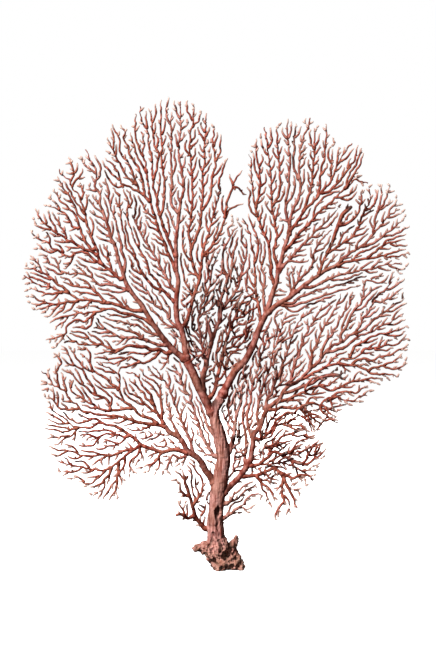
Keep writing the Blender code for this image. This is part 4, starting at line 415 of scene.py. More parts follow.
limb("lowerLeftB1", "lowerLeftB", "lower_left_middle_fan", -11, 1.7, 0.75, -52,130, -58,136, -67,138,
     -71,142, -76,147, -80,150, -85,157, -86,163, -86,168, -86,174, -90,178, -95,181, -101,183, -107,186)
limb("lowerLeftB2", "lowerLeftB1", "lower_left_middle_fan", -14, 1.4, 0.75, -74,145, -79,145, -85,144,
     -90,143, -97,143, -103,144, -108,148, -113,150, -118,153, -122,156, -127,159, -130,164, -131,169)
limb("lowerLeftB3", "lowerLeftB1", "lower_left_middle_fan", -13, 1.4, 0.75, -86,161, -89,164, -94,167,
     -97,171, -102,174, -106,177, -111,178, -115,180, -120,184, -123,188, -126,194, -129,198)
limb("lowerLeftB4", "lowerLeftB2", "lower_left_middle_fan", -16, 1.3, 0.75, -94,143, -95,148, -98,154,
     -103,156, -107,157, -112,160, -115,164, -119,167, -123,170, -126,175, -130,180)
limb("lowerLeftB5", "lowerLeftB4", "lower_left_middle_fan", -18, 1.2, 0.75, -107,157, -109,163, -112,168,
     -116,175, -119,180, -124,183, -128,186, -129,191, -132,194, -137,195)
limb("lowerLeftB6", "lowerLeftB", "lower_left_side_fan", -16, 1.1, 0.75, -122,145, -129,144, -135,145,
     -139,145, -142,148, -144,152, -148,155, -148,158)
limb("lowerLeftB7", "lowerLeftB", "lower_left_side_fan", -15, 1.1, 0.75, -140,164, -141,170, -142,176,
     -143,184)
limb("lowerLeftB8", "lowerLeftB3", "lower_left_middle_fan", -15, 1.2, 0.75, -109,177, -112,183, -112,188,
     -112,194, -115,198, -119,200)
limb("lowerLeftC", "lowerLeft", "lower_left_under_fan", -10, 2.3, 0.75, -24,105, -31,107, -39,108,
     -48,106, -55,108, -61,110, -68,113, -72,118, -78,122, -83,125, -87,128, -94,130, -99,131, -104,132,
     -108,130, -113,128, -119,128, -124,128, -129,130, -132,133, -137,137, -141,140, -145,142, -147,146,
     -148,150)
limb("lowerLeftC1", "lowerLeftC", "lower_left_under_fan", -8, 1.2, 0.75, -102,132, -106,135, -112,136,
     -117,137, -122,138)
limb("lowerLeftC2", "lowerLeftC", "lower_left_under_fan", -12, 1.1, 0.75, -122,128, -129,126, -133,125,
     -139,124, -144,126, -149,126, -153,128)
limb("lowerLeftC3", "lowerLeftC", "lower_left_under_fan", -14, 1.0, 0.75, -124,128, -127,122, -130,120,
     -136,117, -140,114, -144,112)
limb("lowerLeftC4", "lowerLeftC", "lower_left_under_fan", -12, 1.0, 0.75, -131,132, -137,131, -142,132,
     -147,134, -150,136)
limb("lowerLeftC5", "lowerLeftC", "lower_left_under_fan", -7, 1.2, 0.75, -77,121, -82,119, -87,121,
     -93,122, -100,122, -106,119, -112,116)
limb("lowerLeftD", "lowerLeftC", "hanging_left_fan", -13, 1.5, 0.75, -67,112, -74,108, -80,103, -86,98,
     -92,94, -97,91, -104,90, -110,91, -117,93, -124,94, -131,95, -137,97, -142,98)
limb("lowerLeftE", "lowerLeftD", "hanging_left_fan", -16, 1.4, 0.75, -74,108, -81,108, -87,105, -94,103,
     -101,104, -108,103, -115,103, -121,104, -126,107, -131,108, -139,108, -144,110, -149,112)
limb("lowerLeftD1", "lowerLeftD", "hanging_left_fan", -15, 1.2, 1.0, -82,102, -81,96, -84,91, -86,86,
     -84,81, -85,76)
limb("lowerLeftD2", "lowerLeftD", "hanging_left_fan", -17, 1.4, 1.0, -87,97, -87,91, -88,85, -89,78,
     -90,71, -94,67, -96,64)
limb("lowerLeftD3", "lowerLeftD", "hanging_left_fan", -14, 1.4, 1.0, -93,93, -95,87, -99,82, -103,78,
     -107,76, -113,75)
limb("lowerLeftD4", "lowerLeftD", "hanging_left_fan", -12, 1.2, 0.75, -98,91, -103,85, -108,81, -113,78,
     -118,79, -123,80)
limb("lowerLeftF", "lowerLeftC", "lower_left_under_fan", -14, 1.2, 1.0, -68,112, -69,105, -74,100, -77,96,
     -76,92, -73,87)
limb("lowerLeftG", "lowerLeftC", "lower_left_under_fan", -12, 1.3, 1.0, -45,107, -50,104, -53,98, -58,94,
     -60,88)
limb("lowerLeftH", "lowerLeft", "lower_left_limb", -3, 1.7, 0.75, -15,99, -21,107, -23,116, -27,125,
     -31,133, -34,141, -37,149, -40,158, -43,165, -48,171, -52,177, -57,183)
limb("lowerLeftI", "lowerLeft", "lower_left_limb", -5, 1.6, 0.75, -32,118, -36,127, -40,135, -41,143,
     -44,150, -43,158)
limb("lowerLeftJ", "trunk", "trunk", 4, 1.8, 1.0, 5,100, -2,102, -6,109, -11,117, -14,126, -17,135,
     -20,144, -23,152, -27,160, -31,168, -34,176, -38,184)
limb("lowerLeftK", "trunk", "trunk", 8, 1.7, 1.0, 3,120, -4,123, -8,130, -11,139, -14,147, -18,155)
limb("lowerLeftL", "lowerLeft", "lower_left_limb", -12, 1.4, 1.1, -23,105, -29,102, -33,100, -38,104,
     -41,99, -43,93, -43,87)
limb("knob", "trunk", "low_left_branch", -12, 2.2, 1.4, -3,35, -9,36, -13,40, -18,47, -20,55, -22,61,
     -24,68, -26,75, -28,80, -25,85)
limb("knob1", "knob", "low_left_branch", -15, 1.6, 1.4, -19,49, -25,47, -31,51, -36,50)
limb("knob2", "knob", "low_left_branch", -9, 1.4, 1.1, -21,58, -15,66, -12,71, -9,72)
limb("knob3", "knob", "low_left_branch", -16, 1.4, 1.1, -23,67, -28,68, -32,73, -32,80)
limb("notch", "leftInnerO2", "notch_fan", 13, 1.4, 0.75, 8,316, 9,325, 10,332, 13,338, 15,344, 16,348,
     20,355, 24,360)
limb("notch2", "notch", "notch_fan", 15, 1.1, 0.75, 16,346, 14,351, 12,357)
limb("notch3", "notch", "notch_fan", 15, 1.2, 0.75, 15,345, 20,344, 23,341, 25,338, 28,338)
limb("footStub", "trunk", "trunk", -3, 3.0, 2.6, 12,19, 16,23, 18,27, 18,31)

# outline that the twigs grow out to, across and up
outline = [
    (-156, 179), (-143, 184), (-150, 207), (-143, 220), (-159, 231), (-168, 238), (-171, 247),
    (-173, 257), (-173, 269), (-169, 281), (-162, 292), (-166, 304), (-162, 323), (-152, 328),
    (-148, 341), (-142, 353), (-139, 361), (-127, 371), (-121, 374), (-116, 378), (-106, 368),
    (-100, 371), (-98, 388), (-94, 400), (-86, 400), (-77, 395), (-73, 411), (-68, 418), (-60, 417),
    (-49, 424), (-32, 423), (-20, 419), (-9, 413), (-2, 402), (4, 394), (5, 381), (10, 368), (7, 357),
    (6, 346), (15, 318), (27, 318), (28, 337), (28, 359), (29, 375), (32, 382), (37, 390), (44, 400),
    (55, 401), (64, 406), (72, 404), (85, 408), (90, 399), (98, 401), (104, 392), (107, 380),
    (122, 384), (128, 382), (133, 374), (130, 359), (134, 348), (148, 346), (156, 346), (163, 335),
    (170, 322), (171, 310), (171, 296), (173, 285), (173, 275), (167, 265), (169, 253), (171, 244),
    (170, 236), (171, 219), (172, 211), (174, 202), (169, 194), (171, 186), (164, 173), (146, 166),
    (135, 154), (125, 148), (113, 148), (110, 133), (97, 134), (92, 125), (86, 122), (94, 118),
    (101, 111), (94, 98), (87, 78), (75, 73), (73, 55), (62, 51), (53, 44), (49, 55), (41, 64),
    (31, 51), (22, 51), (9, 44), (5, 35), (-7, 33), (-27, 44), (-36, 48), (-36, 80), (-46, 84),
    (-59, 86), (-74, 86), (-83, 76), (-86, 64), (-97, 62), (-112, 68), (-124, 79), (-140, 87),
    (-144, 98), (-151, 110), (-146, 116), (-153, 125), (-151, 136), (-151, 149), (-158, 166),
]


# growth of the side twigs

def headingAt(stem, i):  # direction of a stem in the plane of the fan
    a = stem.line[max(i - 1, 0)]
    b = stem.line[min(i + 1, len(stem.line) - 1)]
    return math.atan2(b.z - a.z, b.x - a.x)


def turnBetween(a, b):  # the smaller angle between two headings
    return (a - b + math.pi) % (2 * math.pi) - math.pi


def insideOutline(x, z):  # whether the fan reaches that far
    inside = False
    j = len(outline) - 1
    for i in range(len(outline)):
        ax, az = outline[i]
        bx, bz = outline[j]
        if (az > z) != (bz > z) and x < (bx - ax) * (z - az) / (bz - az) + ax:
            inside = not inside
        j = i
    return inside


class Flow:  # the way the traced stems run, blurred, for new twigs to follow
    pitch = 4.0
    reach = 6
    spread = 9.0

    def __init__(self, stems):
        self.cells = {}
        for stem in stems:
            if stem.parent is None:
                continue
            for i, point in enumerate(stem.line):
                if i % 2:
                    continue
                heading = headingAt(stem, i)
                self.blur(point, math.cos(heading), math.sin(heading))

    def blur(self, point, cosine, sine):
        cx = round(point.x / self.pitch)
        cz = round(point.z / self.pitch)
        for i in range(cx - self.reach, cx + self.reach + 1):
            for k in range(cz - self.reach, cz + self.reach + 1):
                away = (i * self.pitch - point.x) ** 2 + (k * self.pitch - point.z) ** 2
                weight = math.exp(-away / (2 * self.spread ** 2))
                old = self.cells.get((i, k), (0.0, 0.0))
                self.cells[i, k] = (old[0] + weight * cosine, old[1] + weight * sine)

    def at(self, x, z):
        cell = self.cells.get((round(x / self.pitch), round(z / self.pitch)))
        if cell is None:
            return None
        return math.atan2(cell[1], cell[0])


class Growth:  # tips that grow a step at a time, keep clear of one another and fork now and then
    cellSize = 6.0
    farRoom = 6.0  # a neighbour further off than this does not count
    forkReach = 8.0  # this near a fork its two arms may run close to each other
    depthStep = 0.5
    depthWeight = 0.08  # twigs in front of one another still shun each other
    turnStep = 0.16  # a tip bends by up to twice this in a step
    openRoom = 5.2  # more room than this draws no tip on
    pulls = {"near": 0.22, "far": 0.16, "bend": 0.12, "stray": 0.9, "chance": 0.18}
    rounds = [  # what sprouts, and the room it needs
        ("twig", 3.8), ("twig", growthHabit["forkRoom"]), ("nub", 2.4),
    ]
    sproutGap = 5.0
    firstSprout = 4.0
    twigLife = (25, 140)
    nubLife = (0.6, 2.4)

    def __init__(self, stems):
        self.dice = random.Random(growthHabit["seed"])
        self.cells = {}
        self.flow = Flow(stems)
        self.stems = list(stems)
        self.twigs = []
        self.active = []
        for stem in stems:
            for point, radius in zip(stem.line, stem.radii):
                self.mark(point, radius, stem)

    def mark(self, point, radius, stem):
        cell = (int(point.x // self.cellSize), int(point.z // self.cellSize))
        extra = max(0.0, radius - growthHabit["twigRadius"])
        self.cells.setdefault(cell, []).append((point, extra, stem))

    def crowdAt(self, x, z):
        cx = int(x // self.cellSize)
        cz = int(z // self.cellSize)
        crowd = []
        for i in (cx - 1, cx, cx + 1):
            for k in (cz - 1, cz, cz + 1):
                crowd += self.cells.get((i, k), ())
        return crowd

    def room(self, x, z, y, crowd, own, forks):  # how near the next twig is, but for one met at a fork
        best = self.farRoom
        for point, extra, stem in crowd:
            if stem is own:
                continue
            dx = point.x - x
            dz = point.z - z
            if abs(dx) > best + extra or abs(dz) > best + extra:
                continue
            away = math.sqrt(dx * dx + dz * dz + ((point.y - y) * self.depthWeight) ** 2) - extra
            if away >= best:
                continue
            atFork = False
            for fork in forks:
                forkAway = math.hypot(x - fork.x, z - fork.z)
                if math.hypot(point.x - fork.x, point.z - fork.z) < self.forkReach and away > 0.5 * forkAway:
                    atFork = True
            if not atFork:
                best = away
        return best

    def sprout(self, parent, i, side, angle, leastRoom, kind):
        foot = parent.line[i]
        heading = headingAt(parent, i) + side * angle
        lead = parent.radii[i] / math.sin(angle) * 0.9 + 1.4
        cosine = math.cos(heading)
        sine = math.sin(heading)
        x = foot.x + cosine * lead
        z = foot.z + sine * lead
        farX = x + cosine * 2.5
        farZ = z + sine * 2.5
        if not insideOutline(farX, farZ):
            return None
        crowd = self.crowdAt(farX, farZ)
        if self.room(farX, farZ, foot.y, crowd, None, [foot]) < leastRoom:
            return None
        if self.room(x, z, foot.y, crowd, None, [foot]) < leastRoom * 0.7:
            return None
        if kind == "twig" and not self.clearAhead(farX, farZ, heading, foot):
            return None
        twig = Branch(parent.name, parent.piece, parent, i)
        twig.line = [foot.copy(), Vector((x, foot.y, z))]
        twig.radii = [growthHabit["twigRadius"], growthHabit["twigRadius"]]
        twig.heading = heading
        twig.sinceFork = 0.0
        twig.side = -side
        twig.bornSide = side
        twig.forks = [foot]
        twig.bias = self.dice.gauss(0, 0.10)
        twig.age = lead
        if kind == "twig":
            twig.life = self.dice.uniform(*self.twigLife)
        else:
            twig.life = lead + self.dice.uniform(*self.nubLife)
        twig.depthGoal = self.limbDepth(parent, i) + self.dice.uniform(-1.5, 1.5)
        twig.kind = kind
        twig.ahead = self.dice.uniform(-4, 8)
        self.mark(twig.line[1], growthHabit["twigRadius"], twig)
        self.twigs.append(twig)
        self.active.append(twig)
        return twig

    def clearAhead(self, x, z, heading, foot):  # whether a new twig could run on along the flow
        for _ in range(round(growthHabit["aheadRoom"] / growthHabit["step"])):
            flow = self.flow.at(x, z)
            if flow is not None:
                heading += max(-0.32, min(0.32, turnBetween(flow, heading)))
            x += math.cos(heading) * growthHabit["step"]
            z += math.sin(heading) * growthHabit["step"]
            if not insideOutline(x, z):
                return False
            if self.room(x, z, foot.y, self.crowdAt(x, z), None, [foot]) < growthHabit["twigRoom"]:
                return False
        return True

    def limbDepth(self, stem, i):
        while not stem.traced:
            i = stem.at
            stem = stem.parent
        return 0.3 * stem.line[-1].y + 0.7 * stem.line[min(i, len(stem.line) - 1)].y

    def sproutAlong(self, stem, gap, leastRoom, start, kind):
        along = start
        side = self.dice.choice((-1, 1))
        while round(along / growthHabit["step"]) < len(stem.line) - 1:
            i = round(along / growthHabit["step"])
            for way in (side, -side):
                if any(abs(kid.at - i) <= 2 and kid.bornSide in (way, 0) for kid in stem.kids):
                    continue
                if self.sprout(stem, i, way, self.dice.uniform(0.6, 0.85), leastRoom, kind):
                    side = -way
                    break
            along += gap * self.dice.uniform(0.8, 1.25)

    def bestStep(self, twig):  # where the tip goes next, or None when it is hemmed in
        tip = twig.line[-1]
        flow = self.flow.at(tip.x, tip.z)
        wanted = twig.heading if flow is None else flow + twig.bias
        forks = twig.forks[-2:] + twig.forks[:1]
        crowd = self.crowdAt(tip.x, tip.z)
        y = tip.y + max(-self.depthStep, min(self.depthStep, (twig.depthGoal - tip.y) * 0.15))
        best = None
        pulls = self.pulls
        for k in (-2, -1, 0, 1, 2):
            heading = twig.heading + k * self.turnStep
            dx = math.cos(heading) * growthHabit["step"]
            dz = math.sin(heading) * growthHabit["step"]
            near = self.room(tip.x + dx, tip.z + dz, y, crowd, twig, forks)
            if near < growthHabit["twigRoom"]:
                continue
            far = self.room(tip.x + 2 * dx, tip.z + 2 * dz, y, crowd, twig, forks)
            score = (pulls["near"] * min(near, self.openRoom) + pulls["far"] * min(far, self.openRoom)
                     - pulls["bend"] * abs(k) - pulls["stray"] * abs(turnBetween(heading, wanted))
                     + self.dice.gauss(0, pulls["chance"]))
            if best is None or score > best[0]:
                best = (score, heading, Vector((tip.x + dx, y, tip.z + dz)))
        return best

    def advance(self, twig):  # one step of one tip, False when it stops for good
        best = self.bestStep(twig)
        if best is None or twig.age > twig.life:
            return False
        heading = best[1]
        point = best[2]
        if not insideOutline(point.x + math.cos(heading) * twig.ahead,
                             point.z + math.sin(heading) * twig.ahead):
            return False
        twig.heading = heading
        twig.line.append(point)
        twig.radii.append(growthHabit["twigRadius"])
        twig.age += growthHabit["step"]
        twig.sinceFork += growthHabit["step"]
        self.mark(point, growthHabit["twigRadius"], twig)
        if twig.kind == "twig" and twig.sinceFork >= growthHabit["forkGap"] and self.dice.random() < 0.5:
            i = len(twig.line) - 2
            for way in (twig.side, -twig.side):
                if self.sprout(twig, i, way, self.dice.uniform(0.5, 0.75), growthHabit["forkRoom"], "twig"):
                    twig.side = -way
                    twig.sinceFork = 0.0
                    twig.forks.append(twig.line[i])
                    twig.heading -= way * self.dice.uniform(0.05, 0.3)
                    break
        return True

    def run(self):
        while self.active:
            for twig in list(self.active):
                if not self.advance(twig):
                    self.active.remove(twig)

    def growAll(self):
        for kind, leastRoom in self.rounds:
            for stem in self.stems + list(self.twigs):
                self.sproutAlong(stem, self.sproutGap, leastRoom, self.firstSprout, kind)
            self.run()


growth = Growth(branches)
growth.growAll()
print("grown:", len(branches), "limbs and", len(growth.twigs), "side twigs")

# finer twigs that only show here: they fill what room is left where the fan is thick

thicketLook = {
    "gapRoom": 2.55,  # a free spot this far from every twig gets one more, in the places below
    "thinGapRoom": 3.1,  # the same in the rest of the fan
    "gapPitch": 1.9,
    "gapsAcross": 95,  # how many spots are tried either side of the middle
    "gapsUp": (16, 226),
    "widestTurn": 1.25,  # how far a new twig may leave the way that the fan runs there
    "lean": 0.3,
    "forkRoom": 2.7,
    "twigRoom": 2.45,
    "places": [  # across, up, reach across, reach up
        (5, 215, 44, 76), (50, 150, 54, 48), (16, 130, 24, 46), (62, 100, 44, 32), (66, 205, 42, 36),
        (-26, 125, 24, 40), (-24, 78, 14, 16), (100, 185, 50, 30),
    ],
    "length": (3, 16),
    "wholeFan": [(0, 220, 200, 230)],
    "overPlaces": [
        (3, 222, 32, 56), (34, 122, 30, 40), (60, 102, 30, 20), (50, 185, 20, 26), (72, 142, 34, 26),
        (20, 168, 20, 22),
    ],
    "overRoom": 5.6,
    "overDepth": 4.5,  # how far in front or behind a second, looser layer runs
    "overLength": (7, 20),
}

overTwigs = set()  # those that run in front of or behind the rest


def inPlaces(x, z, places):
    return any(math.hypot((x - row[0]) / row[2], (z - row[1]) / row[3]) < 1 for row in places)


def fillGap(x, z, layer, gapRoom, length):
    # one more twig through a free spot, from the nearest stem that runs the same way
    flow = growth.flow.at(x, z)
    crowd = growth.crowdAt(x, z)
    plane = [mark for mark in crowd if mark[2] not in overTwigs]
    if flow is None or not plane:
        return
    nearest = min(plane, key=lambda mark: math.hypot(mark[0].x - x, mark[0].z - z))[0]
    depth = layer + nearest.y
    if growth.room(x, z, depth, crowd, None, []) < gapRoom:
        return
    best = None
    widest = thicketLook["widestTurn"]
    for point, _, stem in plane:
        away = math.hypot(point.x - x, point.z - z)
        heading = math.atan2(z - point.z, x - point.x)
        if (best is None or away < best[0]) and abs(turnBetween(heading, flow)) < widest:
            best = (away, heading, point, stem)
    if best is None:
        return
    foot, stem = best[2:]
    at = next(i for i, point in enumerate(stem.line) if point is foot)
    twig = Branch(stem.name, stem.piece, stem, at)
    spot = Vector((x, (depth if layer else foot.y) + growth.dice.uniform(-1, 1), z))
    count = max(2, round(best[0] / 2))
    twig.line = [foot.lerp(spot, i / count) for i in range(count + 1)]
    twig.radii = [growthHabit["twigRadius"]] * (count + 1)
    twig.heading = best[1]
    twig.kind = "twig"
    twig.side = growth.dice.choice((-1, 1))
    twig.sinceFork = 0.0
    twig.forks = [foot]
    twig.bias = growth.dice.gauss(0, thicketLook["lean"])
    twig.age = best[0]
    twig.life = best[0] + growth.dice.uniform(*length)
    twig.depthGoal = spot.y
    twig.ahead = growth.dice.uniform(0, 6)
    for point in twig.line[1:]:
        growth.mark(point, growthHabit["twigRadius"], twig)
    growth.twigs.append(twig)
    born = len(growth.twigs)
    while growth.advance(twig):
        pass
    if layer:
        overTwigs.update([twig] + growth.twigs[born:])


def fillGaps(places, layers, gapRoom, length):
    known = len(growth.twigs)
    pitch = thicketLook["gapPitch"]
    across = thicketLook["gapsAcross"]
    up = thicketLook["gapsUp"]
    spots = [(i * pitch, k * pitch) for i in range(-across, across + 1) for k in range(*up)]
    growth.dice.shuffle(spots)
    for x, z in spots:
        if inPlaces(x, z, places) and insideOutline(x, z):
            fillGap(x + growth.dice.uniform(-0.8, 0.8), z + growth.dice.uniform(-0.8, 0.8),
                    growth.dice.choice(layers), gapRoom, length)
    growth.active = []
    print("gaps:", len(growth.twigs) - known, "twigs more")


for label in ("forkRoom", "twigRoom"):
    growthHabit[label] = thicketLook[label]
growth.depthWeight = 0.0
fillGaps(thicketLook["places"], (0.0,), thicketLook["gapRoom"], thicketLook["length"])
fillGaps(thicketLook["wholeFan"], (0.0,), thicketLook["thinGapRoom"], thicketLook["length"])
growth.depthWeight = 1.2
growthHabit["forkGap"] = 99.0  # those in front and behind do not fork
over = thicketLook["overDepth"]
fillGaps(thicketLook["overPlaces"], (-over, over, over), thicketLook["overRoom"], thicketLook["overLength"])
stems = branches + growth.twigs

# skin: the thickness that shows, with wobble, flared feet and rounded tips

stemLook = {
    "wobble": 1.3,  # how far a twig strays from its line
    "wobbleLength": 3.4,
    "stout": 1.1,  # side twigs against their line
    "knobs": 0.30,  # how much its thickness comes and goes
    "knobLength": 2.1,
    "footFlare": 0.40,  # how much wider a twig is where it leaves its parent
    "flareLength": 1.5,
    "thickFrom": 1.5,  # stems with a foot of this radius are moulded as one lump with their forks
    "paleLength": 7.0,  # how far the pale growing end reaches
    "freeLength": 5.0,  # a twig starts to wander this far from its foot
    "taperLength": 7.0,
    "tipShare": 0.60,  # the rounded end against the last full ring
    "edgeReach": 10.0,  # how near the fan's edge a tip has to be to be all pale
    "kneeGap": 2.0,  # the least distance between the foot and the first ordinary ring
    "buds": 0.06,  # share of the stations of a twig that bear a short side bud
    "budLength": (0.8, 2.3),
}

tubeRings = {  # corners of a ring, and how far out they stand since smoothing draws them in
    "twigSides": 4, "twigReach": 1.52,
    "limbSides": 10, "limbReach": 1.03,
    "footSides": 8,
}

trunkLook = {
    "halfWidths": [  # height and half the width there
        (0, 2.5), (5, 5.0), (10, 7.8), (20, 9.0), (27, 8.3), (35, 7.6), (44, 7.1), (53, 6.8), (62, 7.0),
        (71, 7.3), (80, 7.2), (89, 6.6), (98, 6.3), (107, 6.3), (116, 6.2), (125, 5.7), (134, 5.1),
        (142, 4.8), (154, 4.3),
    ],
    "voxel": 0.62,
    "limbVoxel": 0.6,
    "limbDetail": 0.5,  # share of the faces that the thick stems keep
}

# places painted darker: across, up, reach, how dark. The wide ones over the thick middle and the right side
# are painted shade, where twigs lie behind others; the small ones are darker spots
darkPlaces = [
    (2, 220, 34, 0.42), (104, 296, 64, 0.10), (60, 120, 40, 0.12), (-7, 168, 10, 0.8),
    (-24, 218, 8, 0.7), (3, 236, 8, 0.75), (60, 103, 6, 0.5), (18, 116, 5, 0.9), (-22, 80, 8, 0.75),
    (46, 134, 7, 0.45), (44, 163, 12, 0.35), (119, 326, 4, 0.9), (112, 174, 4, 0.8), (58, 186, 8, 0.4),
    (18, 200, 16, 0.4), (-3, 150, 5, 0.8), (14, 86, 5, 0.5), (10.8, 74, 3.2, 0.8), (25, 339, 6, 0.6),
    (4, 341, 6, 0.7),
]

crustedKnot = {  # a worm tube or old graft grown over with crust
    "piece": "centre_limb",
    "grain": 1.6,
    "dark": 0.55,
    "lumps": [((3.2, 15.6, 238.0), 3.6), ((5.4, 14.8, 235.8), 2.4), ((1.2, 15.2, 240.6), 2.3)],
}


def valueAt(rows, height):
    for low, high in zip(rows, rows[1:]):
        if height <= high[0]:
            share = (height - low[0]) / (high[0] - low[0])
            return low[1] + (high[1] - low[1]) * share
    return rows[-1][1]


def farFromEdge(x, z):  # distance to the outline of the fan
    best = math.inf
    for i in range(len(outline)):
        ax, az = outline[i - 1]
        bx, bz = outline[i]
        share = ((x - ax) * (bx - ax) + (z - az) * (bz - az)) / max(1e-6, (bx - ax) ** 2 + (bz - az) ** 2)
        share = max(0.0, min(1.0, share))
        best = min(best, math.hypot(ax + (bx - ax) * share - x, az + (bz - az) * share - z))
    return best


def smooth(share):
    share = max(0.0, min(1.0, share))
    return share * share * (3 - 2 * share)


# painted shade and darker spots, from the places above
def darkAt(point):
    dark = 0.0
    for x, z, reach, amount in darkPlaces:
        away = math.hypot(point.x - x, point.z - z)
        if away < reach * 1.4:
            dark = max(dark, amount * smooth(1.4 - away / reach))
    return dark


def dressStem(stem, number):  # stations along a stem: place, radius and paleness
    dice = random.Random(1000 + number)
    shift = Vector((dice.uniform(0, 90), dice.uniform(0, 90), dice.uniform(0, 90)))
    last = len(stem.line) - 1
    lengths = [0.0]
    for i in range(last):
        lengths.append(lengths[-1] + (stem.line[i + 1] - stem.line[i]).length)
    whole = lengths[-1]
    thick = stem.parent.radii[min(stem.at, len(stem.parent.radii) - 1)] if stem.parent else 0.0
    thick = min(thick, 7.0)
    stops = sorted(set([0.0, min(thick + 0.2, whole * 0.6), min(thick + 1.3, whole * 0.8)]
                       + [along for along in lengths[1:-1] if along > thick + stemLook["kneeGap"]]))
    tip = stem.line[last]
    edge = smooth(1.6 - farFromEdge(tip.x, tip.z) / stemLook["edgeReach"])
    pale = (0.45 + 0.55 * edge) * dice.uniform(0.7, 1.0)
    hasSuccessor = any(kid.traced and kid.at >= last - 1 for kid in stem.kids)
    rounding = 0.0 if hasSuccessor else 1.0
    endRadius = stem.radii[last] * (1.0 if hasSuccessor else dice.uniform(0.70, 0.98))
    stops = [along for along in stops if along < whole - 1.1 * endRadius * rounding - 0.25]
    stops.append(whole - 0.9 * endRadius * rounding)
    stations = []
    k = 0
    for along in stops:
        while k < last - 1 and lengths[k + 1] < along:
            k += 1
        share = (along - lengths[k]) / max(1e-6, lengths[k + 1] - lengths[k])
        place = stem.line[k].lerp(stem.line[k + 1], share)
        radius = stem.radii[k] + (stem.radii[k + 1] - stem.radii[k]) * share
        if stem.parent is None:
            radius = valueAt(trunkLook["halfWidths"], place.z)
        slim = min(1.0, radius / 2)
        radius *= 1 + (stemLook["stout"] - 1) * smooth((1.9 - radius) / 0.5)
        free = smooth((along - thick) / stemLook["freeLength"])
        wander = noise.noise_vector((place + shift) / stemLook["wobbleLength"])
        place += Vector((wander.x, wander.y * 1.4, wander.z)) * stemLook["wobble"] * 2 * free * (1.08 - slim)
        knob = noise.noise((place + shift) / stemLook["knobLength"])
        toEnd = whole - along
        taper = radius
        if rounding:
            taper = endRadius + (radius - endRadius) * smooth(toEnd / stemLook["taperLength"])
        radius = taper * (1 + stemLook["knobs"] * 2 * knob * (1.03 - slim))
        if stem.parent:
            past = max(0.0, along - thick) / stemLook["flareLength"]
            radius *= 1 + stemLook["footFlare"] * math.exp(-past * past) * (1 if along > 0.1 else 0.3)
        paleness = pale * smooth(1 - toEnd / stemLook["paleLength"]) * rounding
        stations.append((place, radius, paleness))
    if rounding:
        place = stem.line[last]
        stations.append((place, stations[-1][1] * stemLook["tipShare"], pale))
    return stations


class Skin:  # points, faces and painted values of one lump of mesh
    def __init__(self):
        self.points = []
        self.faces = []
        self.pale = []
        # how dark each point is painted: painted shade and darker spots
        self.shadeAndDarkSpots = []

    def tube(self, stations, sides, reach):
        start = len(self.points)
        last = len(stations) - 1
        for i, (place, radius, pale) in enumerate(stations):
            axis = (stations[min(i + 1, last)][0] - stations[max(i - 1, 0)][0]).normalized()
            left = Vector((-axis.z, 0.0, axis.x))
            left = left.normalized() if left.length > 0.01 else Vector((1, 0, 0))
            front = axis.cross(left).normalized()
            dark = darkAt(place)
            for k in range(sides):
                turn = math.tau * (k + 0.5) / sides
                self.points.append(place + radius * reach * (math.cos(turn) * left + math.sin(turn) * front))
                self.pale.append(pale)
                self.shadeAndDarkSpots.append(dark)
        for i in range(last):
            for k in range(sides):
                n = (k + 1) % sides
                a = start + i * sides
                b = a + sides
                self.faces.append((a + k, a + n, b + n, b + k))
        self.faces.append(tuple(start + k for k in reversed(range(sides))))
        self.faces.append(tuple(start + last * sides + k for k in range(sides)))

    def blob(self, centre, reach, turn):  # an ellipsoid lump
        ball = bmesh.new()
        bmesh.ops.create_icosphere(ball, subdivisions=3, radius=1.0)
        start = len(self.points)
        spin = Matrix.Rotation(turn, 3, "Y")
        for vert in ball.verts:
            local = Vector((vert.co.x * reach[0], vert.co.y * reach[1], vert.co.z * reach[2]))
            self.points.append(Vector(centre) + spin @ local)
            self.pale.append(0.0)
            self.shadeAndDarkSpots.append(0.0)
        for face in ball.faces:
            self.faces.append(tuple(start + vert.index for vert in face.verts))
        ball.free()

    def bead(self, centre, reach):  # a small rough lump on a twig, dark with crust
        ball = bmesh.new()
        bmesh.ops.create_icosphere(ball, subdivisions=2, radius=reach)
        start = len(self.points)
        for vert in ball.verts:
            point = centre + vert.co
            rough = noise.fractal(point / crustedKnot["grain"], 0.6, 2.1, 3)
            self.points.append(point + vert.co.normalized() * reach * 0.5 * rough)
            self.pale.append(0.0)
            self.shadeAndDarkSpots.append(crustedKnot["dark"])
        for face in ball.faces:
            self.faces.append(tuple(start + vert.index for vert in face.verts))
        ball.free()

    def mesh(self, name):
        made = bpy.data.meshes.new(name)
        made.from_pydata([tuple(point) for point in self.points], [], self.faces)
        for label, values in (("pale", self.pale), ("shadeAndDarkSpots", self.shadeAndDarkSpots)):
            layer = made.attributes.new(label, "FLOAT", "POINT")
            layer.data.foreach_set("value", values)
        made.update()
        return made


def modified(mesh, kind, **settings):  # the mesh after one modifier
    holder = bpy.data.objects.new("holder", mesh)
    bpy.context.scene.collection.objects.link(holder)
    modifier = holder.modifiers.new(kind, kind)
    for label, value in settings.items():
        setattr(modifier, label, value)
    graph = bpy.context.evaluated_depsgraph_get()
    made = bpy.data.meshes.new_from_object(holder.evaluated_get(graph))
    bpy.data.objects.remove(holder, do_unlink=True)
    bpy.data.meshes.remove(mesh)
    return made


noise.seed_set(growthHabit["seed"])  # so that twigs wander the same way in every run
for stem in stems:  # a foot that stops short of its parent runs on to it
    if stem.parent and stem.parent.parent:
        root = stem.parent.line[stem.at]
        if (stem.line[0] - root).length > stem.parent.radii[stem.at] + 0.5:
            stem.line.insert(0, root.copy())
            stem.radii.insert(0, stem.radii[0])
            for kid in stem.kids:
                kid.at += 1
for number, stem in enumerate(stems):
    stem.stations = dressStem(stem, number)
    stem.thick = stem.radii[0] >= stemLook["thickFrom"]
print("stations set")

# the holdfast: lumps, broken ends and hollows

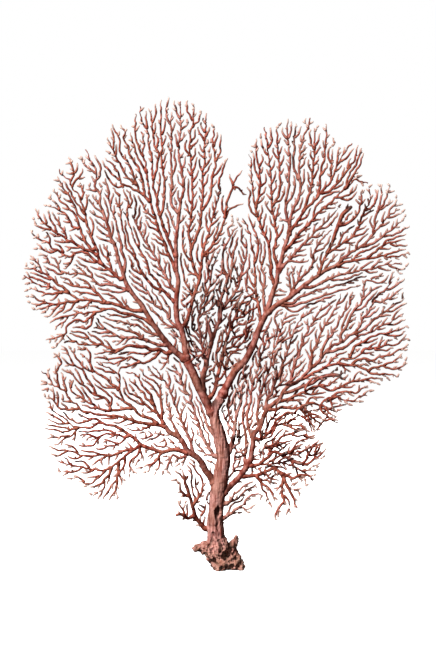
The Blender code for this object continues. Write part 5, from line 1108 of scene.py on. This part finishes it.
holdfastLook = {
    "lumps": [  # centre, reach each way and how far it leans
        ((3, 0, 17), (9.5, 11, 15), 0.0),
        ((9, 1, 7), (11, 14, 9), 0.0),
        ((17, 1, 5), (8, 12, 7.5), 0.3),
        ((20.5, -2, 2), (5.2, 8, 3.5), 0.1),
        ((4, -6, 4), (6, 9, 6), 0.0),
        ((3, 8, 6), (7, 8, 8), 0.0),
        ((-8, -1, 19), (7.5, 9, 7.2), 0.35),
        ((-13.5, -2, 18.8), (6.2, 6.5, 4.4), 0.15),
        ((-17.5, -3, 19.8), (3.2, 4, 2.4), 0.2),
        ((-5, -5, 13), (5, 6, 5), 0.0),
        ((-3, 6, 14), (6, 7, 7), 0.0),
        ((15.5, 3, 14), (4.5, 6, 6), 0.0),
        ((19.5, 0, 9.5), (3.5, 6, 3), 0.0),
    ],
    "stub": [(11.5, 2, 17, 3.3), (14, 1.5, 20.5, 2.7), (16.6, 1, 24.5, 2.3), (18.9, 0.6, 28.4, 2.1)],
    "pits": [  # across, up, radius, depth, seen on the front
        (9.0, 13.4, 3.6, 6.5), (4.2, 17.0, 1.7, 2.4), (18.6, 10.8, 1.9, 2.6), (14.4, 4.2, 1.9, 2.6),
        (5.4, 2.4, 2.2, 2.6), (-14.5, 16.5, 2.0, 2.4), (-9, 14.5, 1.8, 2.2), (-17.2, 20.6, 1.2, 1.2),
        (12.6, 18.5, 1.9, 2.6), (11.8, 8.2, 1.6, 1.8), (-1.5, 8.2, 1.8, 2.2), (16.4, 14.5, 1.5, 1.8),
        (20.5, 4.5, 1.6, 2.0), (-3.0, 27.0, 1.3, 1.2),
    ],
    "grooves": [  # runs of across, up, radius and depth down the front
        [(2.2, 57, 0.9, 0.8), (1.8, 53.5, 2.6, 3.6), (1.4, 50.5, 2.6, 3.4), (0.6, 46.8, 1.3, 1.8),
         (2.4, 43, 1.0, 0.9), (0.6, 39.5, 1.1, 1.2), (1.8, 35.5, 0.8, 0.7)],
        [(-2.6, 33.5, 1.1, 1.5), (-1.0, 31, 1.2, 1.6), (1.4, 28.5, 0.9, 0.8)],
        [(3.0, 26.5, 1.3, 1.7), (4.1, 23.5, 1.6, 2.4), (5.6, 19.5, 1.7, 2.6)],
        [(-3.6, 33, 0.8, 0.9), (-3.4, 28, 1.0, 1.3), (-4.4, 23.5, 1.2, 1.5), (-7.5, 20.5, 1.0, 1.2)],
        [(12, 26, 1.0, 1.2), (12.4, 22, 1.4, 2.4), (13.4, 17.5, 1.4, 2.2)],
        [(-10.5, 12.8, 1.0, 1.4), (-5, 9.5, 1.2, 1.6), (0.5, 6.5, 1.2, 1.6), (3.5, 5.2, 1.0, 1.2)],
    ],
    "crustTop": 32.0,
}


def hollowOf(away, depth, fullDark):  # how deep, and how dark its painted shade, this many radii from the middle of a hollow
    if away >= 1.5:
        return 0.0, 0.0
    return depth * smooth((1.3 - away) * 1.7), 0.85 * smooth((1.05 - away) * 1.8) * min(1.0, depth / fullDark)


def hollowAt(point):  # how deep the hollows and grooves of the foot are here, and how dark their painted shade
    found = [(0.0, 0.0)]
    ragged = 1 + 0.3 * noise.noise(point / 1.5)
    for x, z, radius, depth in holdfastLook["pits"]:
        away = math.hypot(point.x - x, point.z - z) * ragged / radius
        found.append(hollowOf(away, depth, 2.5))
    for run in holdfastLook["grooves"]:
        for (ax, az, ar, ad), (bx, bz, br, bd) in zip(run, run[1:]):
            share = (point.x - ax) * (bx - ax) + (point.z - az) * (bz - az)
            share = max(0.0, min(1.0, share / ((bx - ax) ** 2 + (bz - az) ** 2)))
            x, z = ax + (bx - ax) * share, az + (bz - az) * share
            away = math.hypot(x - point.x, z - point.z) * ragged / (ar + (br - ar) * share)
            found.append(hollowOf(away, ad + (bd - ad) * share, 2.2))
    return max(sink for sink, _ in found), max(dark for _, dark in found)


def reliefAt(point, stem):  # lumps and grain of the rind, outward
    crust = smooth((holdfastLook["crustTop"] - point.z) / 14)
    rough = 0.34 * noise.fractal(point / 5.5, 0.9, 2.1, 3)
    if stem == "trunk":
        along = Vector((point.x / 1.5, point.y / 1.5, point.z / 16))
        rough += 0.46 * noise.fractal(along, 0.8, 2.0, 3)
        rough += 0.20 * noise.fractal(point / 1.6, 0.7, 2.2, 2)
        rough += crust * 2.1 * noise.fractal(point / 4.2 + Vector((7, 3, 1)), 0.7, 2.1, 4)
        cells = noise.voronoi(point / 3.4)[0]
        rough -= crust * 1.6 * max(0.0, 0.5 - cells[0])
    else:
        rough += 0.14 * noise.fractal(point / 1.3, 0.7, 2.2, 2)
    return rough, crust


def mouldThick(name, lump):  # voxel mesh of the thick stems, smoothed and given its relief
    trunk = name == "trunk"
    voxel = trunkLook["voxel"] if trunk else trunkLook["limbVoxel"]
    mesh = modified(lump.mesh(name + "_core"), "REMESH", mode="VOXEL", voxel_size=voxel)
    shape = bmesh.new()
    shape.from_mesh(mesh)
    bpy.data.meshes.remove(mesh)
    for _ in range(2):
        bmesh.ops.smooth_vert(shape, verts=shape.verts, factor=0.5,
                              use_axis_x=True, use_axis_y=True, use_axis_z=True)
    shape.normal_update()
    shadeAndDarkSpots = shape.verts.layers.float.new("shadeAndDarkSpots")
    pale = shape.verts.layers.float.new("pale")
    crustLayer = shape.verts.layers.float.new("crust")
    moves = []
    for vert in shape.verts:
        point = vert.co.copy()
        relief, crust = reliefAt(point, name)
        dark = darkAt(point)
        sink = 0.0
        # the hollows and grooves of the foot sink in and are painted in shade by their depth
        if trunk and vert.normal.y < 0.15 and point.z < 60:
            sink, hollow = hollowAt(point)
            dark = max(dark, hollow)
        moves.append((relief - sink, dark, crust if trunk else 0.0))
    for vert, (move, dark, crust) in zip(shape.verts, moves):
        out = vert.normal.copy()
        if move < -1.0:
            out = (out + Vector((0, -1.5, 0))).normalized()
        vert.co += out * move
        vert[shadeAndDarkSpots] = dark
        vert[crustLayer] = crust
        vert[pale] = 0.0
    if trunk:
        cutFlat(shape)
    made = bpy.data.meshes.new(name + "_core")
    shape.to_mesh(made)
    shape.free()
    return made if trunk else modified(made, "DECIMATE", ratio=trunkLook["limbDetail"])


def cutFlat(shape):  # the flat cut under the holdfast
    cut = bmesh.ops.bisect_plane(shape, geom=shape.verts[:] + shape.edges[:] + shape.faces[:],
                                 plane_co=(0, 0, 0), plane_no=(0, 0, 1), clear_inner=True)
    rim = [item for item in cut["geom_cut"] if isinstance(item, bmesh.types.BMEdge)]
    bmesh.ops.holes_fill(shape, edges=rim, sides=0)


def addBuds(skin, stations, dice):  # short side buds that never grew into twigs
    for (place, radius, pale), (after, _, _) in zip(stations[1:-3], stations[2:]):
        if dice.random() > stemLook["buds"]:
            continue
        axis = (after - place).normalized()
        way = Vector((-axis.z, dice.uniform(-0.5, 0.5), axis.x)) * dice.choice((-1, 1))
        way += axis * dice.uniform(0.2, 0.9)
        way.normalize()
        length = radius + dice.uniform(*stemLook["budLength"])
        skin.tube([(place, radius * 0.8, pale), (place + way * (radius + 0.2), radius * 0.68, pale),
                   (place + way * length, radius * 0.45, min(1.0, pale + 0.25))],
                  tubeRings["twigSides"], tubeRings["twigReach"])


def pieceMesh(name, members):
    dice = random.Random(name)
    thin = Skin()
    lump = Skin()
    if name == crustedKnot["piece"]:
        for place, reach in crustedKnot["lumps"]:
            thin.bead(Vector(place), reach)
    for stem in members:
        if not stem.thick:
            thin.tube(stem.stations, tubeRings["twigSides"], tubeRings["twigReach"])
            addBuds(thin, stem.stations, dice)
            continue
        lump.tube(stem.stations, tubeRings["limbSides"], tubeRings["limbReach"])
        for kid in stem.kids:  # a short flared foot under each side stem
            if kid.at >= len(stem.line) - 1:
                continue
            foot = kid.stations
            own = stem.radii[min(kid.at, len(stem.radii) - 1)]
            radius = kid.radii[0]
            first = foot[0][0]
            way = (foot[min(2, len(foot) - 1)][0] - first).normalized()
            lump.tube([(first, radius * 1.2, 0.0), (first + way * own, radius * 1.2, 0.0),
                       (first + way * (own + 1.2), radius * 0.8, 0.0)], tubeRings["footSides"], 1.0)
    parts = []
    if name == "trunk":
        for centre, reach, lean in holdfastLook["lumps"]:
            lump.blob(centre, reach, lean)
        stub = [(Vector(row[:3]), row[3], 0.0) for row in holdfastLook["stub"]]
        lump.tube(stub, tubeRings["limbSides"], 1.0)
    if lump.points:
        parts.append(mouldThick(name, lump))
    if thin.points:
        parts.append(modified(thin.mesh(name + "_twigs"), "SUBSURF", levels=1, render_levels=1))
    shape = bmesh.new()
    for part in parts:
        shape.from_mesh(part)
        bpy.data.meshes.remove(part)
    for face in shape.faces:
        face.smooth = True
    made = bpy.data.meshes.new(name + "_rind")
    shape.to_mesh(made)
    shape.free()
    made.transform(Matrix.Scale(millimetre, 4))
    return made


def tone(code):  # an sRGB hex colour as linear light
    shares = [int(code[i:i + 2], 16) / 255 for i in (1, 3, 5)]
    linear = [share / 12.92 if share <= 0.04045 else ((share + 0.055) / 1.055) ** 2.4 for share in shares]
    return (*linear, 1.0)


def addNode(tree, kind, settings=None, links=None):  # one node, its settings and what feeds it
    node = tree.nodes.new(kind)
    for label, value in (settings or {}).items():
        if isinstance(label, str) and hasattr(node, label):
            setattr(node, label, value)
        else:
            node.inputs[label].default_value = value
    for label, source in (links or {}).items():
        tree.links.new(source, node.inputs[label])
    return node


rindLook = {  # colours, roughness, and the sizes of its grain, patches and streaks in millimetres
    "twig": {
        "lit": "#BD6857", "deep": "#722419", "shade": "#4A0D04", "ochre": "#926248", "tip": "#E6C6B8",
        "dark": "#2A0B06", "grain": 0.9, "bump": 0.4, "roughness": 0.8,
        "mottle": 3.5, "streak": 1.0, "shadeRange": (0.42, 0.88),
    },
    "limb": {
        "lit": "#C17C71", "deep": "#7F3428", "shade": "#4A1006", "ochre": "#976B51", "tip": "#EBD2C6",
        "dark": "#2A0B06", "grain": 0.9, "bump": 0.5, "roughness": 0.82,
        "mottle": 3.0, "streak": 0.6, "shadeRange": (0.28, 0.88),
    },
    "trunk": {
        "lit": "#DB9D93", "deep": "#844038", "shade": "#3C0F06", "ochre": "#A27A60", "tip": "#E6C8B8",
        "dark": "#1C0703", "grain": 0.8, "bump": 0.6, "roughness": 0.85,
        "mottle": 2.2, "streak": 0.16, "shadeRange": (0.15, 0.85),
    },
}
rindShared = {
    "patch": 22.0, "patchShare": 0.35,  # ochre patches
    "crustCell": 2.8, "crustShare": 0.35, "crust": "#C79E86",
    "fineBump": 0.3, "coarseBump": 0.8,
    "ior": 1.5, "sheen": 0.1,
    "paintedLightSide": (-0.38, 0, 0.46),  # painted light: surfaces turned to the upper left get the lit colours, the rest the painted shade colour
    # painted light on both broad faces of the fan alike
    "paintedLightFaces": (0, 0.8, 0),
}


def driedGorgonianRind(kind):
    # the chalky skin that a horny coral keeps when it is dried in air: matt, dusty and finely granular, with
    # light and shade painted on by which way the surface faces
    look = rindLook[kind]
    shared = rindShared
    material = bpy.data.materials.new("driedGorgonianRind" + kind.capitalize())
    material.use_nodes = True
    tree = material.node_tree
    tree.nodes.clear()
    where = addNode(tree, "ShaderNodeTexCoord").outputs["Object"]

    def noiseOf(size, detail, place):
        return addNode(tree, "ShaderNodeTexNoise", {"Scale": 1000 / size, "Detail": detail},
                       {"Vector": place}).outputs[0]

    def spread(value, low, high, settings=None):
        return addNode(tree, "ShaderNodeMapRange", {"From Min": low, "From Max": high, **(settings or {})},
                       {"Value": value}).outputs[0]

    def mixed(share, first, second):  # first where the share is 0, second where it is 1
        mix = addNode(tree, "ShaderNodeMix", {"data_type": "RGBA"}, {0: share})
        for socket, colour in ((6, first), (7, second)):
            if isinstance(colour, str):
                mix.inputs[socket].default_value = tone(colour)
            else:
                tree.links.new(colour, mix.inputs[socket])
        return mix.outputs[2]

    def product(share, other, value=None):
        settings = {"operation": "MULTIPLY"}
        if value is not None:
            settings[1] = value
        return addNode(tree, "ShaderNodeMath", settings, {0: share} if other is None else {0: share, 1: other}
                       ).outputs[0]

    def painted(label):  # a value that the mesh carries
        return addNode(tree, "ShaderNodeAttribute", {"attribute_name": label}).outputs["Fac"]

    patches = noiseOf(shared["patch"], 3.0, where)
    drawn = addNode(tree, "ShaderNodeMapping", {"Scale": (1, 1, look["streak"])}, {"Vector": where})
    mottle = noiseOf(look["mottle"], 4.0, drawn.outputs[0])
    grain = noiseOf(look["grain"], 2.0, where)
    colour = mixed(spread(mottle, 0.38, 0.62), look["lit"], look["deep"])
    colour = mixed(product(spread(patches, 0.38, 0.62), None, shared["patchShare"]), colour, look["ochre"])
    facing = addNode(tree, "ShaderNodeNewGeometry").outputs["Normal"]
    aside = addNode(tree, "ShaderNodeVectorMath", {"operation": "DOT_PRODUCT", 1: shared["paintedLightSide"]},
                    {0: facing})
    either = addNode(tree, "ShaderNodeVectorMath", {"operation": "ABSOLUTE"}, {0: facing})
    broad = addNode(tree, "ShaderNodeVectorMath", {"operation": "DOT_PRODUCT", 1: shared["paintedLightFaces"]},
                    {0: either.outputs[0]})
    paintedLightFacing = addNode(tree, "ShaderNodeMath", {"operation": "ADD"},
                      {0: aside.outputs["Value"], 1: broad.outputs["Value"]}).outputs[0]
    # painted light and shade: the broad faces and surfaces turned to the upper left get the lit colours,
    # undersides and right sides the painted shade colour
    colour = mixed(spread(paintedLightFacing, *look["shadeRange"], {"To Min": 1.0, "To Max": 0.0}), colour, look["shade"])
    colour = mixed(painted("pale"), colour, look["tip"])
    # painted shade in the hollows of the foot and behind the front twigs, and darker spots, carried on the
    # mesh
    colour = mixed(painted("shadeAndDarkSpots"), colour, look["dark"])
    if kind == "trunk":
        cells = addNode(tree, "ShaderNodeTexVoronoi", {"Scale": 1000 / shared["crustCell"]},
                        {"Vector": where})
        spots = product(painted("crust"), spread(cells.outputs[0], 0.75, 0.35))
        colour = mixed(product(spots, None, shared["crustShare"]), colour, shared["crust"])
    fine = addNode(tree, "ShaderNodeBump",
                   {"Strength": look["bump"], "Distance": shared["fineBump"] * millimetre}, {"Height": grain})
    coarse = addNode(tree, "ShaderNodeBump",
                     {"Strength": look["bump"], "Distance": shared["coarseBump"] * millimetre},
                     {"Height": mottle, "Normal": fine.outputs[0]})
    shader = addNode(tree, "ShaderNodeBsdfPrincipled",
                     {"Roughness": look["roughness"], "IOR": shared["ior"],
                      "Specular IOR Level": shared["sheen"]},
                     {"Base Color": colour, "Normal": coarse.outputs[0]})
    addNode(tree, "ShaderNodeOutputMaterial", {}, {"Surface": shader.outputs[0]})
    return material


rinds = {kind: driedGorgonianRind(kind) for kind in rindLook}
members = {}
for stem in stems:
    members.setdefault(stem.piece, []).append(stem)
triangles = 0
for name in frame["nodes"]:
    mesh = pieceMesh(name, members[name])
    kind = "trunk" if name == "trunk" else "limb" if name.endswith("limb") else "twig"
    mesh.materials.append(rinds[kind])
    piece = bpy.data.objects.new(name + "_rind", mesh)
    bpy.context.scene.collection.objects.link(piece)
    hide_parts(name)
    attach(piece, "root")
    triangles += sum(len(face.vertices) - 2 for face in mesh.polygons)
print("pieces dressed,", triangles, "triangles in all")

studioLook = {
    "floor": "#F4F2F0", "floorRadius": 12.0, "floorGlow": 0.92,
    "keyPlace": (-1.25, -1.65, 1.7), "keySize": 0.5, "keyPower": 108,
    "fillPlace": (0.3, -2.2, 0.6), "fillSize": 1.2, "fillPower": 4.5,
    "rearPlace": (0.7, 2.3, 0.9), "rearSize": 1.0, "rearPower": 85,
    "skyLight": 0.07, "backdrop": 1.0,
    "aim": (0, 0, 0.22),
    "lens": 85.0, "cameraPlace": (0.0018, -1.381, 0.2196),
}


def makeStudio():
    floorMesh = bpy.data.meshes.new("studioFloor")
    shape = bmesh.new()
    bmesh.ops.create_circle(shape, cap_ends=True, segments=96, radius=studioLook["floorRadius"])
    shape.to_mesh(floorMesh)
    shape.free()
    paper = bpy.data.materials.new("mattPaper")  # unglossed sheet that loses its edge against the backdrop
    paper.use_nodes = True
    shader = paper.node_tree.nodes["Principled BSDF"]
    shader.inputs["Base Color"].default_value = tone(studioLook["floor"])
    shader.inputs["Roughness"].default_value = 0.9
    shader.inputs["Emission Color"].default_value = (1, 1, 1, 1)
    shader.inputs["Emission Strength"].default_value = studioLook["floorGlow"]
    floorMesh.materials.append(paper)
    floor = bpy.data.objects.new("studioFloor", floorMesh)
    bpy.context.scene.collection.objects.link(floor)
    floor.visible_diffuse = False
    world = bpy.data.worlds.new("studioAir")
    bpy.context.scene.world = world
    world.use_nodes = True
    tree = world.node_tree
    tree.nodes.clear()
    seen = addNode(tree, "ShaderNodeLightPath").outputs["Is Camera Ray"]
    soft = addNode(tree, "ShaderNodeBackground", {"Color": (1, 1, 1, 1), "Strength": studioLook["skyLight"]})
    white = addNode(tree, "ShaderNodeBackground", {"Color": (1, 1, 1, 1), "Strength": studioLook["backdrop"]})
    both = addNode(tree, "ShaderNodeMixShader", {}, {0: seen, 1: soft.outputs[0], 2: white.outputs[0]})
    addNode(tree, "ShaderNodeOutputWorld", {}, {"Surface": both.outputs[0]})
    for label in ("key", "fill", "rear"):
        lamp = bpy.data.lights.new(label + "Light", "AREA")
        lamp.size = studioLook[label + "Size"]
        lamp.energy = studioLook[label + "Power"]
        holder = bpy.data.objects.new(label + "Light", lamp)
        holder.location = studioLook[label + "Place"]
        aim = Vector(studioLook["aim"]) - holder.location
        holder.rotation_euler = aim.to_track_quat("-Z", "Y").to_euler()
        holder.visible_camera = False
        bpy.context.scene.collection.objects.link(holder)
    lens = bpy.data.cameras.new("photoCamera")
    lens.lens = studioLook["lens"]
    lens.sensor_width = 36.0
    lens.clip_start = 0.05
    lens.clip_end = 60.0
    camera = bpy.data.objects.new("photoCamera", lens)
    camera.location = studioLook["cameraPlace"]
    camera.rotation_euler = (math.radians(90), 0, 0)
    bpy.context.scene.collection.objects.link(camera)
    bpy.context.scene.camera = camera
    bpy.context.scene.view_settings.view_transform = "Standard"


makeStudio()
print("studio set")
